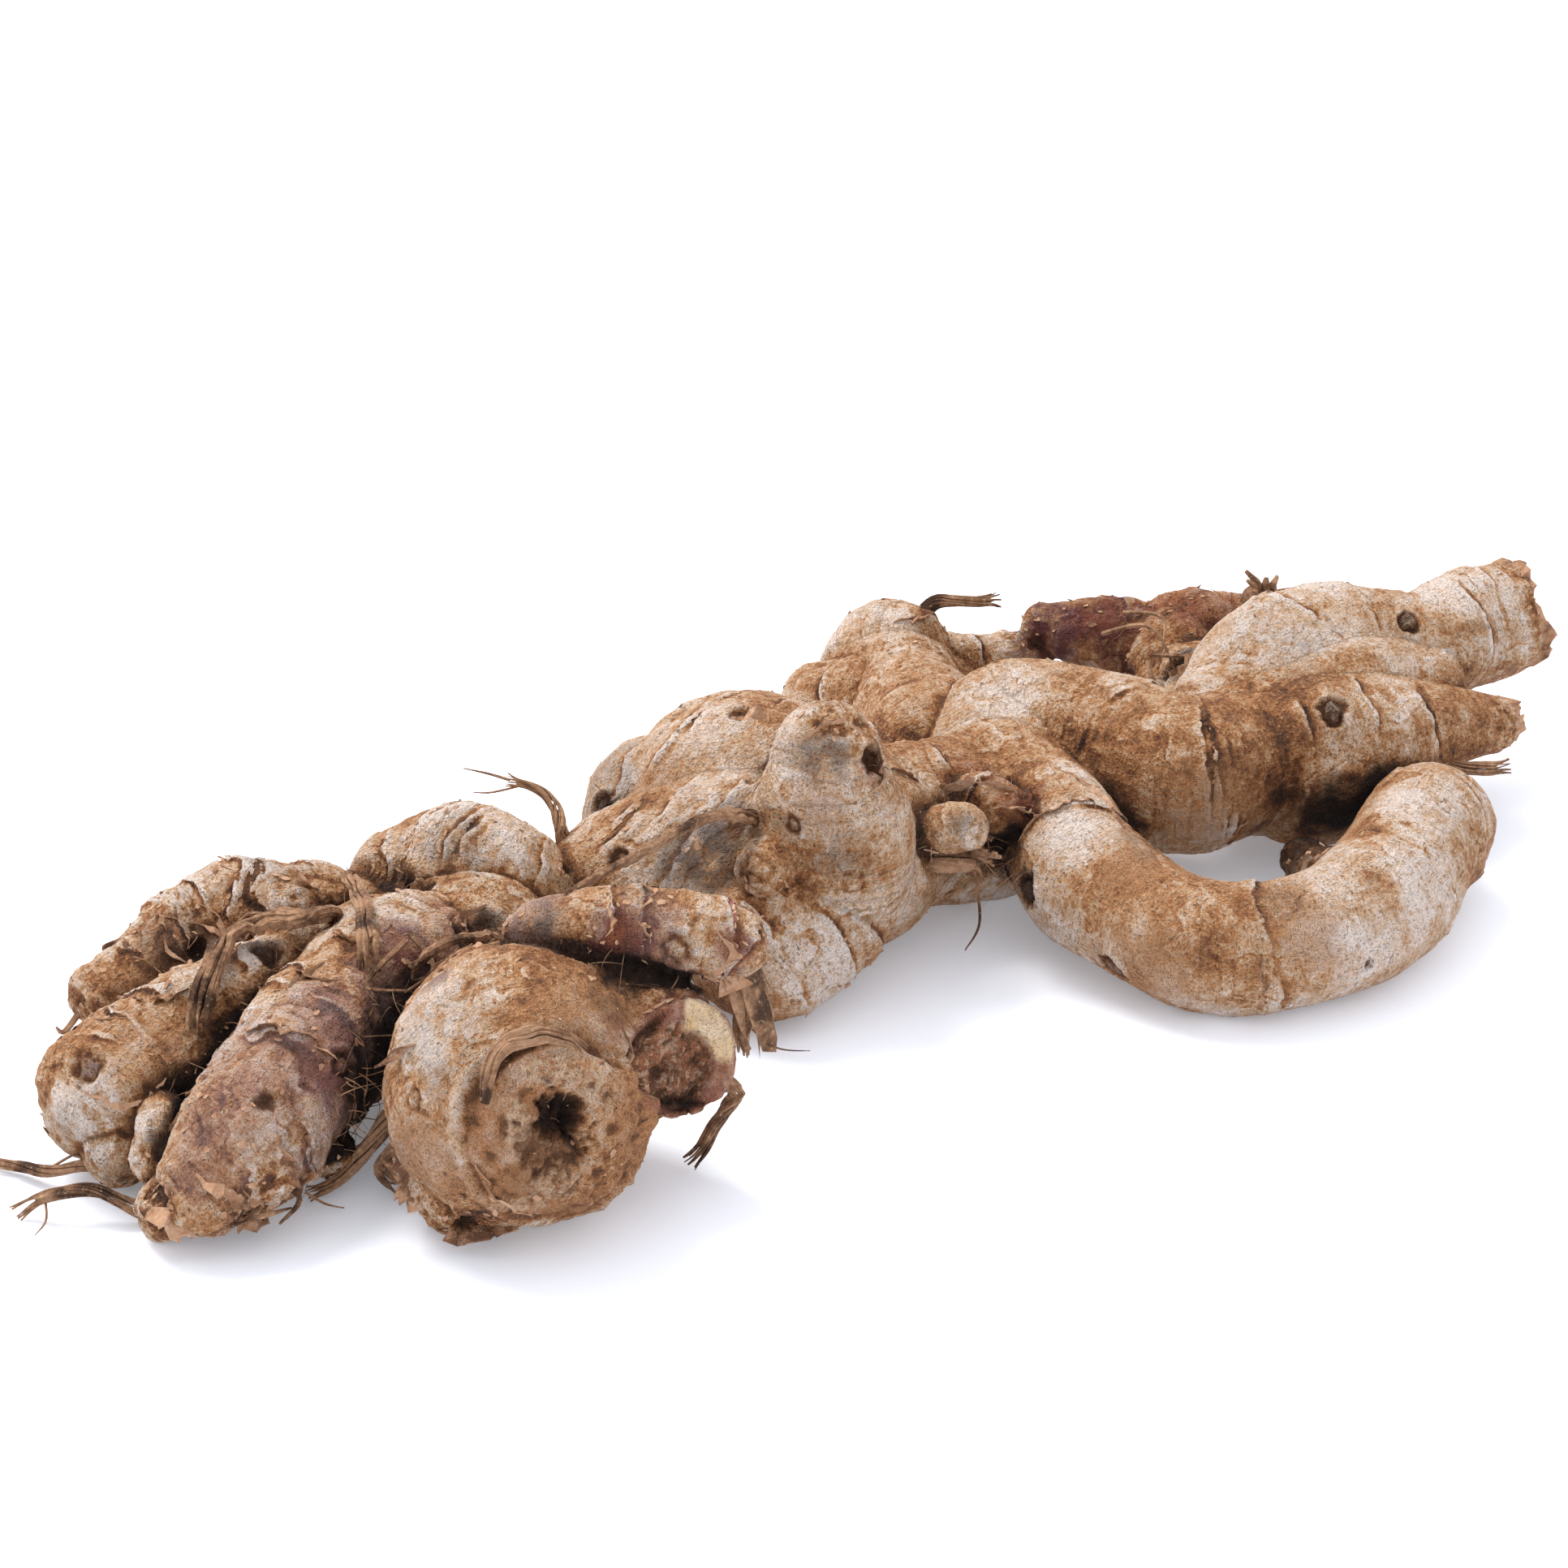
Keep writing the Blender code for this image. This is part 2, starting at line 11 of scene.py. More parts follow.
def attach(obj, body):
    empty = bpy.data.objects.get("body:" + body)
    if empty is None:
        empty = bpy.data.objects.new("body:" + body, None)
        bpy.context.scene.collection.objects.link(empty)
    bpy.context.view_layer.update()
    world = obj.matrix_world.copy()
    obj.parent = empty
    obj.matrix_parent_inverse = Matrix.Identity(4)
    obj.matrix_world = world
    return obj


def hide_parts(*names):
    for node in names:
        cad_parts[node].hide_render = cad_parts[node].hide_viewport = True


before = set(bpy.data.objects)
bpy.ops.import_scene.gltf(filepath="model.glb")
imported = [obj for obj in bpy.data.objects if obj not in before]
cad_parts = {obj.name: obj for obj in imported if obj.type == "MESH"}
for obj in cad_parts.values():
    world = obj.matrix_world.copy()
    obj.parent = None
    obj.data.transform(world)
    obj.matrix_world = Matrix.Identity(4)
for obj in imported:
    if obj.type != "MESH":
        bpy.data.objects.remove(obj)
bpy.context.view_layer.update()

# A red ginger rhizome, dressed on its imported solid. Sizes are in millimetres until a piece is finished.
mm = 0.001
origin = Vector((-0.7, -9.2, 0.6))   # the solid's origin, in the coordinates of the stations below
lowest = origin.z + 0.02             # nothing reaches lower than this


# Camera, light and floor

cameraSetup = {"lens": 93.47, "sensor": 36, "down": 26, "turn": 35, "away": 432, "height": 229.4}
lightSetup = {
    "sky": (0.955, 0.965, 1.0), "skyStrength": 1.27,
    "key": (1.0, 0.97, 0.93), "keyWatts": 17, "keySize": 0.8, "keyPlace": (-0.12, 0.72, 1.05),
}


def addCamera(setup):
    turn = math.radians(setup["turn"])
    data = bpy.data.cameras.new("camera")
    data.lens = setup["lens"]
    data.sensor_width = setup["sensor"]
    camera = bpy.data.objects.new("camera", data)
    stand = Vector((-setup["away"] * math.sin(turn), -setup["away"] * math.cos(turn), setup["height"]))
    camera.location = (stand - origin) * mm
    camera.rotation_euler = (math.radians(90 - setup["down"]), 0, -turn)
    bpy.context.scene.collection.objects.link(camera)
    bpy.context.scene.camera = camera


def addLights(setup):
    world = bpy.data.worlds.new("sky")
    world.use_nodes = True
    sky = world.node_tree.nodes["Background"]
    sky.inputs["Color"].default_value = (*setup["sky"], 1)
    sky.inputs["Strength"].default_value = setup["skyStrength"]
    bpy.context.scene.world = world
    data = bpy.data.lights.new("keyLight", "AREA")
    data.shape = "DISK"
    data.size = setup["keySize"]
    data.energy = setup["keyWatts"]
    data.color = setup["key"]
    key = bpy.data.objects.new("keyLight", data)
    key.location = setup["keyPlace"]
    key.rotation_euler = (-Vector(setup["keyPlace"])).to_track_quat("-Z", "Y").to_euler()
    bpy.context.scene.collection.objects.link(key)


# Mesh helpers

def toObject(bm, name, toFrame=True):
    # Puts a millimetre bmesh into the shared frame as an object at the origin.
    if toFrame:
        bmesh.ops.translate(bm, verts=bm.verts, vec=-origin)
        bmesh.ops.scale(bm, verts=bm.verts, vec=(mm, mm, mm))
    mesh = bpy.data.meshes.new(name)
    bm.to_mesh(mesh)
    bm.free()
    piece = bpy.data.objects.new(name, mesh)
    bpy.context.scene.collection.objects.link(piece)
    return piece


def keepUp(bm):
    # Lifts what reaches through the ground.
    for vert in bm.verts:
        vert.co.z = max(vert.co.z, lowest)


def applyModifiers(piece):
    bpy.context.view_layer.update()
    shown = piece.evaluated_get(bpy.context.evaluated_depsgraph_get())
    mesh = bpy.data.meshes.new_from_object(shown)
    piece.modifiers.clear()
    old = piece.data
    piece.data = mesh
    bpy.data.meshes.remove(old)


def catmull(rows, t):
    last = len(rows) - 1
    i = min(int(t), last - 1)
    f = t - i
    p = [rows[min(max(i + k, 0), last)] for k in (-1, 0, 1, 2)]
    return 0.5 * (2 * p[1] + (p[2] - p[0]) * f + (2 * p[0] - 5 * p[1] + 4 * p[2] - p[3]) * f**2
                  + (3 * p[1] - p[0] - 3 * p[2] + p[3]) * f**3)


def pathOf(stations, step):
    # Rows of x, y, z, radius and run, one every step, on a smooth curve through the stations.
    rows = np.array(stations, float)
    fine = np.array([catmull(rows, t) for t in np.linspace(0, len(rows) - 1, 40 * (len(rows) - 1))])
    run = np.concatenate([[0], np.cumsum(np.linalg.norm(np.diff(fine[:, :3], axis=0), axis=1))])
    wanted = np.linspace(0, run[-1], max(3, round(run[-1] / step) + 1))
    return np.column_stack([np.interp(wanted, run, fine[:, k]) for k in range(4)] + [wanted])


def capped(path, end=True):
    # The path with half balls added at its ends, or at its start alone.
    def cap(tip, before):
        way = (tip[:3] - before[:3]) / np.linalg.norm(tip[:3] - before[:3])
        turns = [math.radians(a) for a in (25, 45, 62, 76, 86)]
        return [np.append(tip[:3] + way * tip[3] * math.sin(a), tip[3] * math.cos(a)) for a in turns]

    rows = [row[:4] for row in path]
    return cap(path[0], path[1])[::-1] + rows + (cap(path[-1], path[-2]) if end else [])


def wayAt(points, i):
    return (points[min(i + 1, len(points) - 1)] - points[max(i - 1, 0)]).normalized()


def sweep(rows, sides):
    # A closed tube along rows of x, y, z and radius: one circle, extruded and moved from row to row.
    points = [Vector(row[:3]) for row in rows]
    ways = [wayAt(points, i) for i in range(len(points))]
    turn = ways[0].to_track_quat("Z", "Y")
    bm = bmesh.new()
    bmesh.ops.create_circle(bm, segments=sides, radius=1, cap_ends=False)
    edges = list(bm.edges)
    before = Matrix.Identity(4)
    for i, (point, way) in enumerate(zip(points, ways)):
        if i:
            turn = ways[i - 1].rotation_difference(way) @ turn
            grown = bmesh.ops.extrude_edge_only(bm, edges=edges)["geom"]
            edges = [g for g in grown if isinstance(g, bmesh.types.BMEdge)]
            verts = [g for g in grown if isinstance(g, bmesh.types.BMVert)]
        else:
            verts = list(bm.verts)
        size = Matrix.Diagonal((rows[i][3], rows[i][3], rows[i][3], 1))
        here = Matrix.Translation(point) @ turn.to_matrix().to_4x4() @ size
        bmesh.ops.transform(bm, matrix=here @ before.inverted(), verts=verts)
        before = here
    bmesh.ops.holes_fill(bm, edges=bm.edges, sides=0)
    bmesh.ops.recalc_face_normals(bm, faces=bm.faces)
    return bm


def merged(parts):
    # One bmesh that holds all the given ones.
    whole = bmesh.new()
    for part in parts:
        mesh = bpy.data.meshes.new("part")
        part.to_mesh(mesh)
        part.free()
        whole.from_mesh(mesh)
        bpy.data.meshes.remove(mesh)
    return whole


lattice = np.random.default_rng(7).normal(size=(4096, 3))
lattice /= np.linalg.norm(lattice, axis=1)[:, None]


def noiseAt(points, size, seed=0):
    # Smooth noise between about -1 and 1 at each point, with features about one size wide.
    spots = points / size + 13.7 * seed
    cell = np.floor(spots).astype(np.int64)
    part = spots - cell
    fade = part**3 * (part * (part * 6 - 15) + 10)
    total = np.zeros(len(spots))
    for corner in np.ndindex(2, 2, 2):
        at = cell + corner
        slot = (at[:, 0] * 73856093 ^ at[:, 1] * 19349663 ^ at[:, 2] * 83492791) & 4095
        share = np.prod(np.where(corner, fade, 1 - fade), axis=1)
        total += share * ((part - corner) * lattice[slot]).sum(axis=1)
    return total * 1.6


def rowsOf(mesh, kind):
    # Each vertex's place ("co") or "normal".
    flat = np.empty(len(mesh.vertices) * 3, np.float32)
    mesh.vertices.foreach_get(kind, flat)
    return flat.reshape(-1, 3).astype(float)


def reachOf(points, place):
    return np.linalg.norm(points - place, axis=1)


def smoothstep(low, high, value):
    t = np.clip((value - low) / (high - low), 0, 1)
    return t * t * (3 - 2 * t)


def bell(value, width):
    return np.exp(-((value / width) ** 2))


# The rhizome's skin

def finger(stations, rings=(), **kind):
    return {"stations": stations, "rings": rings, "height": 1, "rough": 1, "scurf": 0.5, "papery": 0,
            "crease": 0, "grain": None, "cut": False, **kind}


# Each finger is a row of round stations from its root to its end: x, y, z of the centre and the radius.
# "rings" are its leaf scars, from the first station or along "grain", and "height" is how far they stand up.
# "rough" is how wrinkled its skin is, "scurf" how much of it is under dry brown crust, "papery" how much of
# the old scales is left on its rings, "crease" how deep it meets its neighbours, and "cut" gives a flat end.
fingers = {
    "axisLeft": finger([(-42, 1, 12, 8), (-31, 1, 11, 7.5), (-21, -3, 13, 10.3), (-12, -7, 14, 12.7),
        (-2.5, -11, 14, 11.3)], rings=[0.5, 4.5, 8, 12.5, 16, 20], grain=(-0.37, 0.89, 0.29), rough=0.6,
        scurf=0.35),
    "axisMiddle": finger([(-1.5, -9.5, 13, 11.4), (10, -7, 13, 10), (25, -6.5, 10.2, 10.4),
        (31, -3, 12, 10.2), (34, 2, 14.5, 9.4), (39.5, -3.5, 15, 9.5)], rings=[8, 15, 27, 32], rough=0.35,
        scurf=0.55, papery=0.3),
    "axisRight": finger([(34, 2, 14.5, 9.2), (40, -4.5, 14.5, 10), (46, -17, 14, 9.7),
        (56.5, -19, 13.7, 9.1), (64.5, -21, 12.5, 10.8), (71.5, -23, 13.5, 9), (79, -25, 14, 6.4),
        (88, -27.5, 13.5, 3.8)], rings=[10, 15, 26.5, 36, 48, 57], rough=0.2, scurf=0.5, papery=0.2),
    "hump": finger([(1, -11, 14, 11.8), (-3, -3, 16, 14.3), (-8, 3, 15.5, 14.4), (-11, 7, 14.3, 10.8)],
        rings=[0.5, 4.5, 8, 12.5, 16, 20, 24], grain=(-0.37, 0.89, 0.29), rough=0.35, scurf=0.3,
        papery=0.2),
    "stump": finger([(-14, -17, 10.2, 10), (-7, -15, 14, 11.2), (-5.5, -17, 20, 10), (-6, -17.5, 26, 8.3),
        (-5.5, -16.5, 30, 6.4)], rings=[-3.5, 1, 6.5], rough=0.35, scurf=0.2, papery=0.25),
    "frontBulb": finger([(-44, -3, 9.5, 7), (-50, -18, 9, 7.5), (-56, -31.5, 15, 13.6),
        (-59.7, -38, 14.7, 14.2)], rough=0.6, scurf=0.55, crease=0.3),
    "bulbShoulder": finger([(-58, -30, 17, 9.8), (-51.5, -35.3, 17.2, 10), (-45.3, -38.6, 17.8, 8)],
        rough=0.6, scurf=0.7, crease=0.2),
    "bulbHeel": finger([(-63, -34, 9.5, 7), (-66.5, -37, 7, 6.4)], rough=1.0, scurf=0.8),
    "cutStub": finger([(-48, -33, 12.5, 8), (-44, -38, 14.6, 7.2), (-44, -41.8, 16.1, 6.4),
        (-44.9, -45.4, 17.8, 6.2)], rings=[7], cut=True, rough=0.5, scurf=0.5, papery=0.5, crease=0.3),
    "purpleFinger": finger([(-47, -3, 13.5, 7), (-59.5, -7.5, 14, 8.5), (-72.5, -15.5, 12.5, 8.5),
        (-83, -22, 10.3, 7.8), (-89.5, -23.8, 7.2, 6.2)], rings=[17, 24, 30, 35, 41, 47], rough=1.0,
        scurf=0.45, papery=0.75, crease=1.1),
    "purpleLobe": finger([(-75.5, -17.5, 8, 5.2), (-75, -21.5, 5.5, 3.8)], rough=1, scurf=0.6, crease=0.6),
    "purpleToe": finger([(-88, -23.5, 6, 5), (-92.7, -21.8, 4.7, 4.1)], rough=1, scurf=0.6, crease=0.6),
    "leftFinger": finger([(-50, 0, 12.5, 7), (-59, -1, 13, 7), (-70, -2.5, 12.5, 7.6), (-79, -2.5, 11, 8.1),
        (-85, -3.5, 9.5, 8.6), (-90.4, -5, 9, 8.3)], rings=[10, 16, 22, 27, 32, 38, 43.5], rough=0.9,
        scurf=0.55, papery=0.6, crease=1.0),
    "leftLobe": finger([(-90, -6, 8, 6.4), (-92.3, -8.5, 6, 5.2)], rough=0.8, scurf=0.5, crease=0.5),
    "leftNub": finger([(-87, -9, 9, 3.4), (-90, -13.6, 10, 3), (-91.2, -15.4, 7, 3)], rough=0.8, scurf=0.5,
        crease=0.7),
    "backLeftFinger": finger([(-45, 5, 11.5, 6), (-51, 9, 11.5, 6.6), (-57, 11.5, 12.5, 7.2),
        (-63.5, 14.5, 13, 7.4), (-69.5, 16.2, 11.5, 7), (-76, 15.5, 10.3, 5.8), (-81, 15.5, 9.5, 4.2)],
        rings=[10, 15, 18.5, 22, 25.5, 29, 32, 35.5], rough=1.0, scurf=0.6, papery=0.9, crease=1.0),
    "secondHump": finger([(-35, 1, 12, 8.4), (-39.5, 4, 14.2, 10), (-41.5, 9, 14, 9.4),
        (-44.5, 11.5, 13.5, 7.6)], rings=[2.5, 6, 9.5, 12.5, 16], rough=0.6, scurf=0.45, papery=0.35,
        crease=0.7),
    "secondFront": finger([(-40, 1, 11.5, 9), (-46, -3.5, 11.5, 10)], rough=0.6, scurf=0.5, crease=0.7),
    "loop": finger([(28, -6, 14, 8), (26.7, -17.5, 13, 7.3), (24.2, -26, 11, 7.7), (24.3, -35.5, 9.5, 7.6),
        (26.8, -43.5, 8.2, 7.8), (33.5, -48.7, 8, 7.7), (43, -50.3, 8.2, 7.7), (53.5, -47.2, 8.7, 8.2),
        (62.5, -42, 9.3, 7.9), (67.3, -39.5, 10, 7.6)], rings=[17, 47, 67, 84], rough=0.2, scurf=0.4,
        papery=0.3),
    "loopHeel": finger([(52.5, -43, 7, 6), (52.5, -37, 6, 4), (54, -32, 6, 3)], rough=0.8, scurf=0.8),
    "farFinger": finger([(59, -14, 14, 9.8), (68.5, -9.5, 17.5, 9.9), (78, -9, 18.5, 9.2),
        (83.5, -10.5, 18.5, 7.8), (89, -13.5, 18.5, 6.8), (97, -13.5, 19, 7.6), (103.5, -14, 19, 7.5)],
        rings=[4, 14, 24, 32, 37, 42.5], cut=True, rough=0.3, scurf=0.3, papery=0.3),
    "farWeb": finger([(61, -16, 15.5, 8.6), (74, -15.5, 16, 8.6), (84, -18, 15.2, 6.4)], rough=0.25,
        scurf=0.4),
    "backFinger": finger([(29, 9.5, 13, 7.9), (35, 22, 11, 8.5), (38.5, 31.5, 11, 9), (39, 32, 12.7, 8.4)],
        rings=[8, 17, 24], rough=0.4, scurf=0.5, papery=0.35, crease=0.4),
    "backFoot": finger([(33, 20, 9, 8), (36, 27, 7.8, 8)], rough=0.4, scurf=0.5),
    "backKnob": finger([(40, 24.5, 10, 6.7), (33, 26, 10, 7.7), (28, 30.5, 9.5, 6.2)], rings=[6, 12],
        rough=0.5, scurf=0.5, papery=0.3, crease=0.3),
    "backTop": finger([(39.5, 30.5, 14, 7.2), (42, 33, 14, 5.2)], rough=0.5, scurf=0.6),
    "backBridge": finger([(45.5, 30, 10, 6), (52, 28.5, 10, 4.2), (58, 26.5, 10.5, 3.6)], rings=[6],
        rough=0.8, scurf=0.6),
    "backBudLeft": finger([(62, -8, 12, 8), (69.5, 10.5, 11, 6.3), (69, 18, 13, 5.8), (63, 22.5, 14, 4.8),
        (60, 26, 14, 3.5)], rings=[12, 22, 27, 32], rough=0.8, scurf=0.5, papery=0.7, crease=0.6),
    "backBudRight": finger([(69.5, 10.5, 12, 6.3), (71.5, 16, 13, 6.1), (77, 13.5, 14, 5.3),
        (83, 11.5, 15, 3.8)], rings=[5, 10], rough=0.8, scurf=0.5, papery=0.6, crease=0.6),
    "budFinger": finger([(-57, -27, 20, 5), (-52.5, -29.5, 26.3, 4.6), (-49.5, -32, 27.9, 4.4),
        (-44.5, -36, 28, 4.8), (-39.3, -39.2, 27.5, 4.8), (-35.6, -41.8, 26.6, 3.9)],
        rings=[15.6, 21, 27.3, 30.5], height=0.9, rough=0.5, scurf=0.45, papery=0.9, crease=1.6),
    "stumpNub": finger([(-13, -18, 19.5, 4.4), (-16.8, -19.6, 20.6, 3.2)], rough=0.8, scurf=0.6,
        crease=0.1),
    "greyBud": finger([(-3, -16, 17, 5), (4.5, -18.5, 18, 3.2), (8, -21, 19, 3.2), (9.5, -22.3, 19.5, 2.9)],
        rings=[8], rough=0.6, scurf=0.3, papery=0.4, crease=0.9),
    "redBud": finger([(13, -5, 15, 4), (15, -9, 16, 3.4), (17.5, -14, 17, 3.8), (20, -17.5, 16.5, 3.3),
        (22.5, -20.5, 16.5, 1.4)], rings=[5, 9, 12], rough=1, scurf=0.6, papery=0.9, crease=0.9),
}

# Scars of old roots and shoots: x, y, z, radius, rim, hollow and peg.
scars = [
    (-94.5, -7.5, 15, 2.2, 0.35, 0.55, 0.15), (-71.5, -4, 19.5, 2.2, 0.4, 0.9, 0.4),
    (-72, 11, 14, 1.5, 0.3, 0.9, 0.0), (-73.3, -25, 17, 1.9, 0.7, 0.3, 0.7),
    (-83.5, -26, 15.3, 1.6, 0.1, 0.8, 0.0), (-90.7, -24, 15, 1.3, 0.2, 0.25, 0.1),
    (-49.9, 0.5, 20, 2.4, 0.4, 0.5, 1.4), (-49.3, -11.4, 22, 1.9, 0.3, 0.3, 1.2),
    (-22, 7, 19.5, 1.8, 0.4, 0.8, 0.2), (-27, -6.5, 19.5, 1.6, 0.4, 0.8, 0.2),
    (-32.5, -3, 18, 1.0, 0.2, 1.0, 0.0), (-7.5, -1.8, 30.5, 1.5, 0.2, 0.7, 0.0),
    (-3.8, -22, 31.2, 2.1, 0.2, 1.3, 0.0), (-14.1, -21.2, 25.9, 1.5, 0.25, 0.55, 0.2),
    (-8.5, -25.8, 19.3, 2.1, 0.25, 0.15, 0.1), (62.2, -26.7, 21.7, 2.2, 0.4, 0.9, 0.9),
    (84, -15.9, 24, 1.7, 0.35, 0.8, 0.7), (17.8, -26, 10.8, 2.6, 0.4, 1.2, 0.3),
    (18.3, -39.4, 6, 2.3, 0.3, 0.6, 0.3), (36.4, -57, 9.7, 3.6, 0.12, 0.05, 0.0),
    (36.4, -57, 9.7, 2.0, 0.08, 0.1, 0.0), (40.5, -58.4, 7.7, 0.7, 0.15, 0.6, 0.0),
    (63.4, -45.3, 16, 1.3, 0.12, 0.25, 0.1), (61.5, 1, 17, 3.0, 0.3, 1.6, 0.0),
    (-43.4, -42.6, 28.4, 2.2, 0.5, 0.35, 0.2), (-73.4, -38.8, 19, 1.5, 0.2, 0.35, 0.1),
    (-69.2, -42, 4.8, 1.4, 0.2, 1.2, 0.0),
]

# Ends and stumps that are torn all over: x, y, z, radius and how rough.
tornEnds = [
    (104, -14, 20, 8, 1.0), (89.5, -29, 13.5, 4.5, 0.5), (-4.5, -18.5, 36, 5.5, 0.6),
    (-18, -19, 20.5, 2.8, 0.35), (-96, -23, 6, 5, 0.8), (-86, -31, 7, 4.5, 0.9), (-76, -25, 5, 5, 0.7),
    (-84, 15.5, 10, 4, 0.5), (-34, -43.5, 27, 3.2, 0.5), (-92, -16, 7, 3, 0.4), (22, -20, 17, 3, 0.6),
    (9.5, -24, 19.5, 2.5, 0.3), (-71, -43, 4, 5, 0.9), (83, 10, 20, 3, 0.6), (-49.3, -11.4, 22.5, 2.2, 0.9),
    (-50, 0.5, 21, 2, 0.6), (26.5, 33, 9.5, 4, 0.4), (57.5, 27, 14, 4, 0.6),
]

skinShape = {
    "step": 1.0, "sides": 24, "voxel": 0.36, "smoothing": 8, "cuts": (-64, -37, 10.5, 48),
    "ringHeight": 0.42, "ringRise": 3.0, "ringDrop": 0.2, "groove": 0.16,
    "lumps": 0.8, "knobs": 0.6, "creases": 0.4, "wrinkles": 0.1, "growthLines": 0.07, "grit": 0.06,
    "crust": 0.1, "peel": 0.14, "creaseWidth": 1.0, "torn": 0.55,
}


# Turns about a finger are counted from its side that lies square to this.
sideways = (0.15, -0.35, 1.0)


def nearestFinger(points, paths):
    # Each point's finger and the next nearest one, its place along its finger, its turn about it, the
    # radius there, and how much nearer its own finger is.
    best = np.full(len(points), np.inf)
    second = best.copy()
    other = np.zeros(len(points), int)
    out = np.zeros((len(points), 4))
    for k, path in enumerate(paths):
        centres = path[:, :3]
        low = (centres - path[:, 3:4]).min(axis=0) - 4
        high = (centres + path[:, 3:4]).max(axis=0) + 4
        near = np.flatnonzero(((points > low) & (points < high)).all(axis=1))
        here = points[near]
        square = (here**2).sum(axis=1)[:, None] - 2 * here @ centres.T + (centres**2).sum(axis=1)
        gap = np.sqrt(np.maximum(square, 0)) - path[:, 3]
        i = gap.argmin(axis=1)
        gap = gap[np.arange(len(here)), i]
        tangent = np.gradient(centres, axis=0)
        tangent /= np.linalg.norm(tangent, axis=1)[:, None]
        side = np.cross(tangent, sideways)
        side /= np.linalg.norm(side, axis=1)[:, None]
        up = np.cross(side, tangent)
        off = here - centres[i]
        run = path[i, 4] + (off * tangent[i]).sum(axis=1)
        turn = np.arctan2((off * side[i]).sum(axis=1), (off * up[i]).sum(axis=1))
        found = np.column_stack([np.full(len(here), k), run, turn, path[i, 3]])
        closer = gap < best[near]
        runnerUp = ~closer & (gap < second[near])
        other[near] = np.where(closer, out[near, 0], np.where(runnerUp, k, other[near]))
        second[near] = np.where(closer, best[near], np.where(runnerUp, gap, second[near]))
        best[near] = np.where(closer, gap, best[near])
        out[near[closer]] = found[closer]
    return out[:, 0].astype(int), other, out[:, 1], out[:, 2], out[:, 3], second - best


def spread(values, edges, rounds, known=None):
    # Evens values out over a mesh's edges, reading only the known ones at first.
    weight = np.ones(len(values)) if known is None else known.astype(float)
    total = values * weight
    ends = np.concatenate([edges[:, 0], edges[:, 1]])
    others = np.concatenate([edges[:, 1], edges[:, 0]])
    for _ in range(rounds):
        total = total + np.bincount(ends, total[others], len(values))
        weight = weight + np.bincount(ends, weight[others], len(values))
        total, weight = total / 6, weight / 6
    return total / np.maximum(weight, 1e-9)


def ringWave(sine, turn, finger, ring):
    # How far a ring sways along its finger as it goes round.
    return 1.3 * sine(turn + 1.7 * finger + 2.1 * ring)


def ringFields(points, which, along, turn, rough):
    # Distance past the nearest ring, how high it stands there, and the place along the finger.
    wander = (0.7 + 1.5 * rough) * noiseAt(points, 6.5, 1) + 0.9 * rough * noiseAt(points, 2.8, 19)
    wander += 0.35 * noiseAt(points, 1.2, 2)
    gap = np.full(len(points), 9.0)
    height = np.zeros(len(points))
    place = along.copy()
    for k, part in enumerate(fingers.values()):
        mine = which == k
        if part["grain"]:
            place[mine] = points[mine] @ np.array(part["grain"])
        for j, ring in enumerate(part["rings"]):
            toRing = place[mine] + wander[mine] + ringWave(np.sin, turn[mine], k, j) - ring
            nearer = np.abs(toRing) < np.abs(gap[mine])
            gap[mine] = np.where(nearer, toRing, gap[mine])
            stands = smoothstep(-0.2, 0.35, noiseAt(points[mine], 6.0, 20 + j))
            height[mine] = np.where(nearer, (0.12 + 0.88 * stands) * part["height"], height[mine])
    return gap, height, place


def scarFields(points, normals):
    # Rise of the scars at each point, and how much of a hollow and of a rim it is.
    rise = np.zeros(len(points))
    inside = np.zeros(len(points))
    rim = np.zeros(len(points))
    wander = 0.3 * noiseAt(points, 1.9, 3) + 0.14 * noiseAt(points, 0.8, 31)
    for x, y, z, radius, rimHeight, hollow, peg in scars:
        near = np.flatnonzero(((points - (x, y, z)) ** 2).sum(axis=1) < (2.2 * radius + 3) ** 2)
        middle = near[reachOf(points[near], (x, y, z)).argmin()]
        centre = points[middle]
        here = near[(reachOf(points[near], centre) < 2 * radius) & (normals[near] @ normals[middle] > 0.1)]
        d = reachOf(points[here], centre) / radius + wander[here]
        width = min(0.26, 0.6 / radius)
        edge = bell(d - 1, width)
        rise[here] += rimHeight * edge * (0.7 + 1.4 * wander[here]) - hollow * smoothstep(1.0, 0.35, d)
        rise[here] += 0.25 * hollow * noiseAt(points[here], 0.7, 32) * (d < 1)
        rise[here] += (peg + 0.7 * hollow) * smoothstep(0.6, 0.3, d) * (peg > 0)
        inside[here] = np.maximum(inside[here], smoothstep(1.0, 0.6, d) * min(1, max(0, hollow - 0.25) / 0.6))
        rim[here] = np.maximum(rim[here], edge)
    return rise, inside, rim


def tornField(points):
    total = np.zeros(len(points))
    for x, y, z, radius, strength in tornEnds:
        total = np.maximum(total, strength * smoothstep(1.1, 0.6, reachOf(points, (x, y, z)) / radius))
    return total


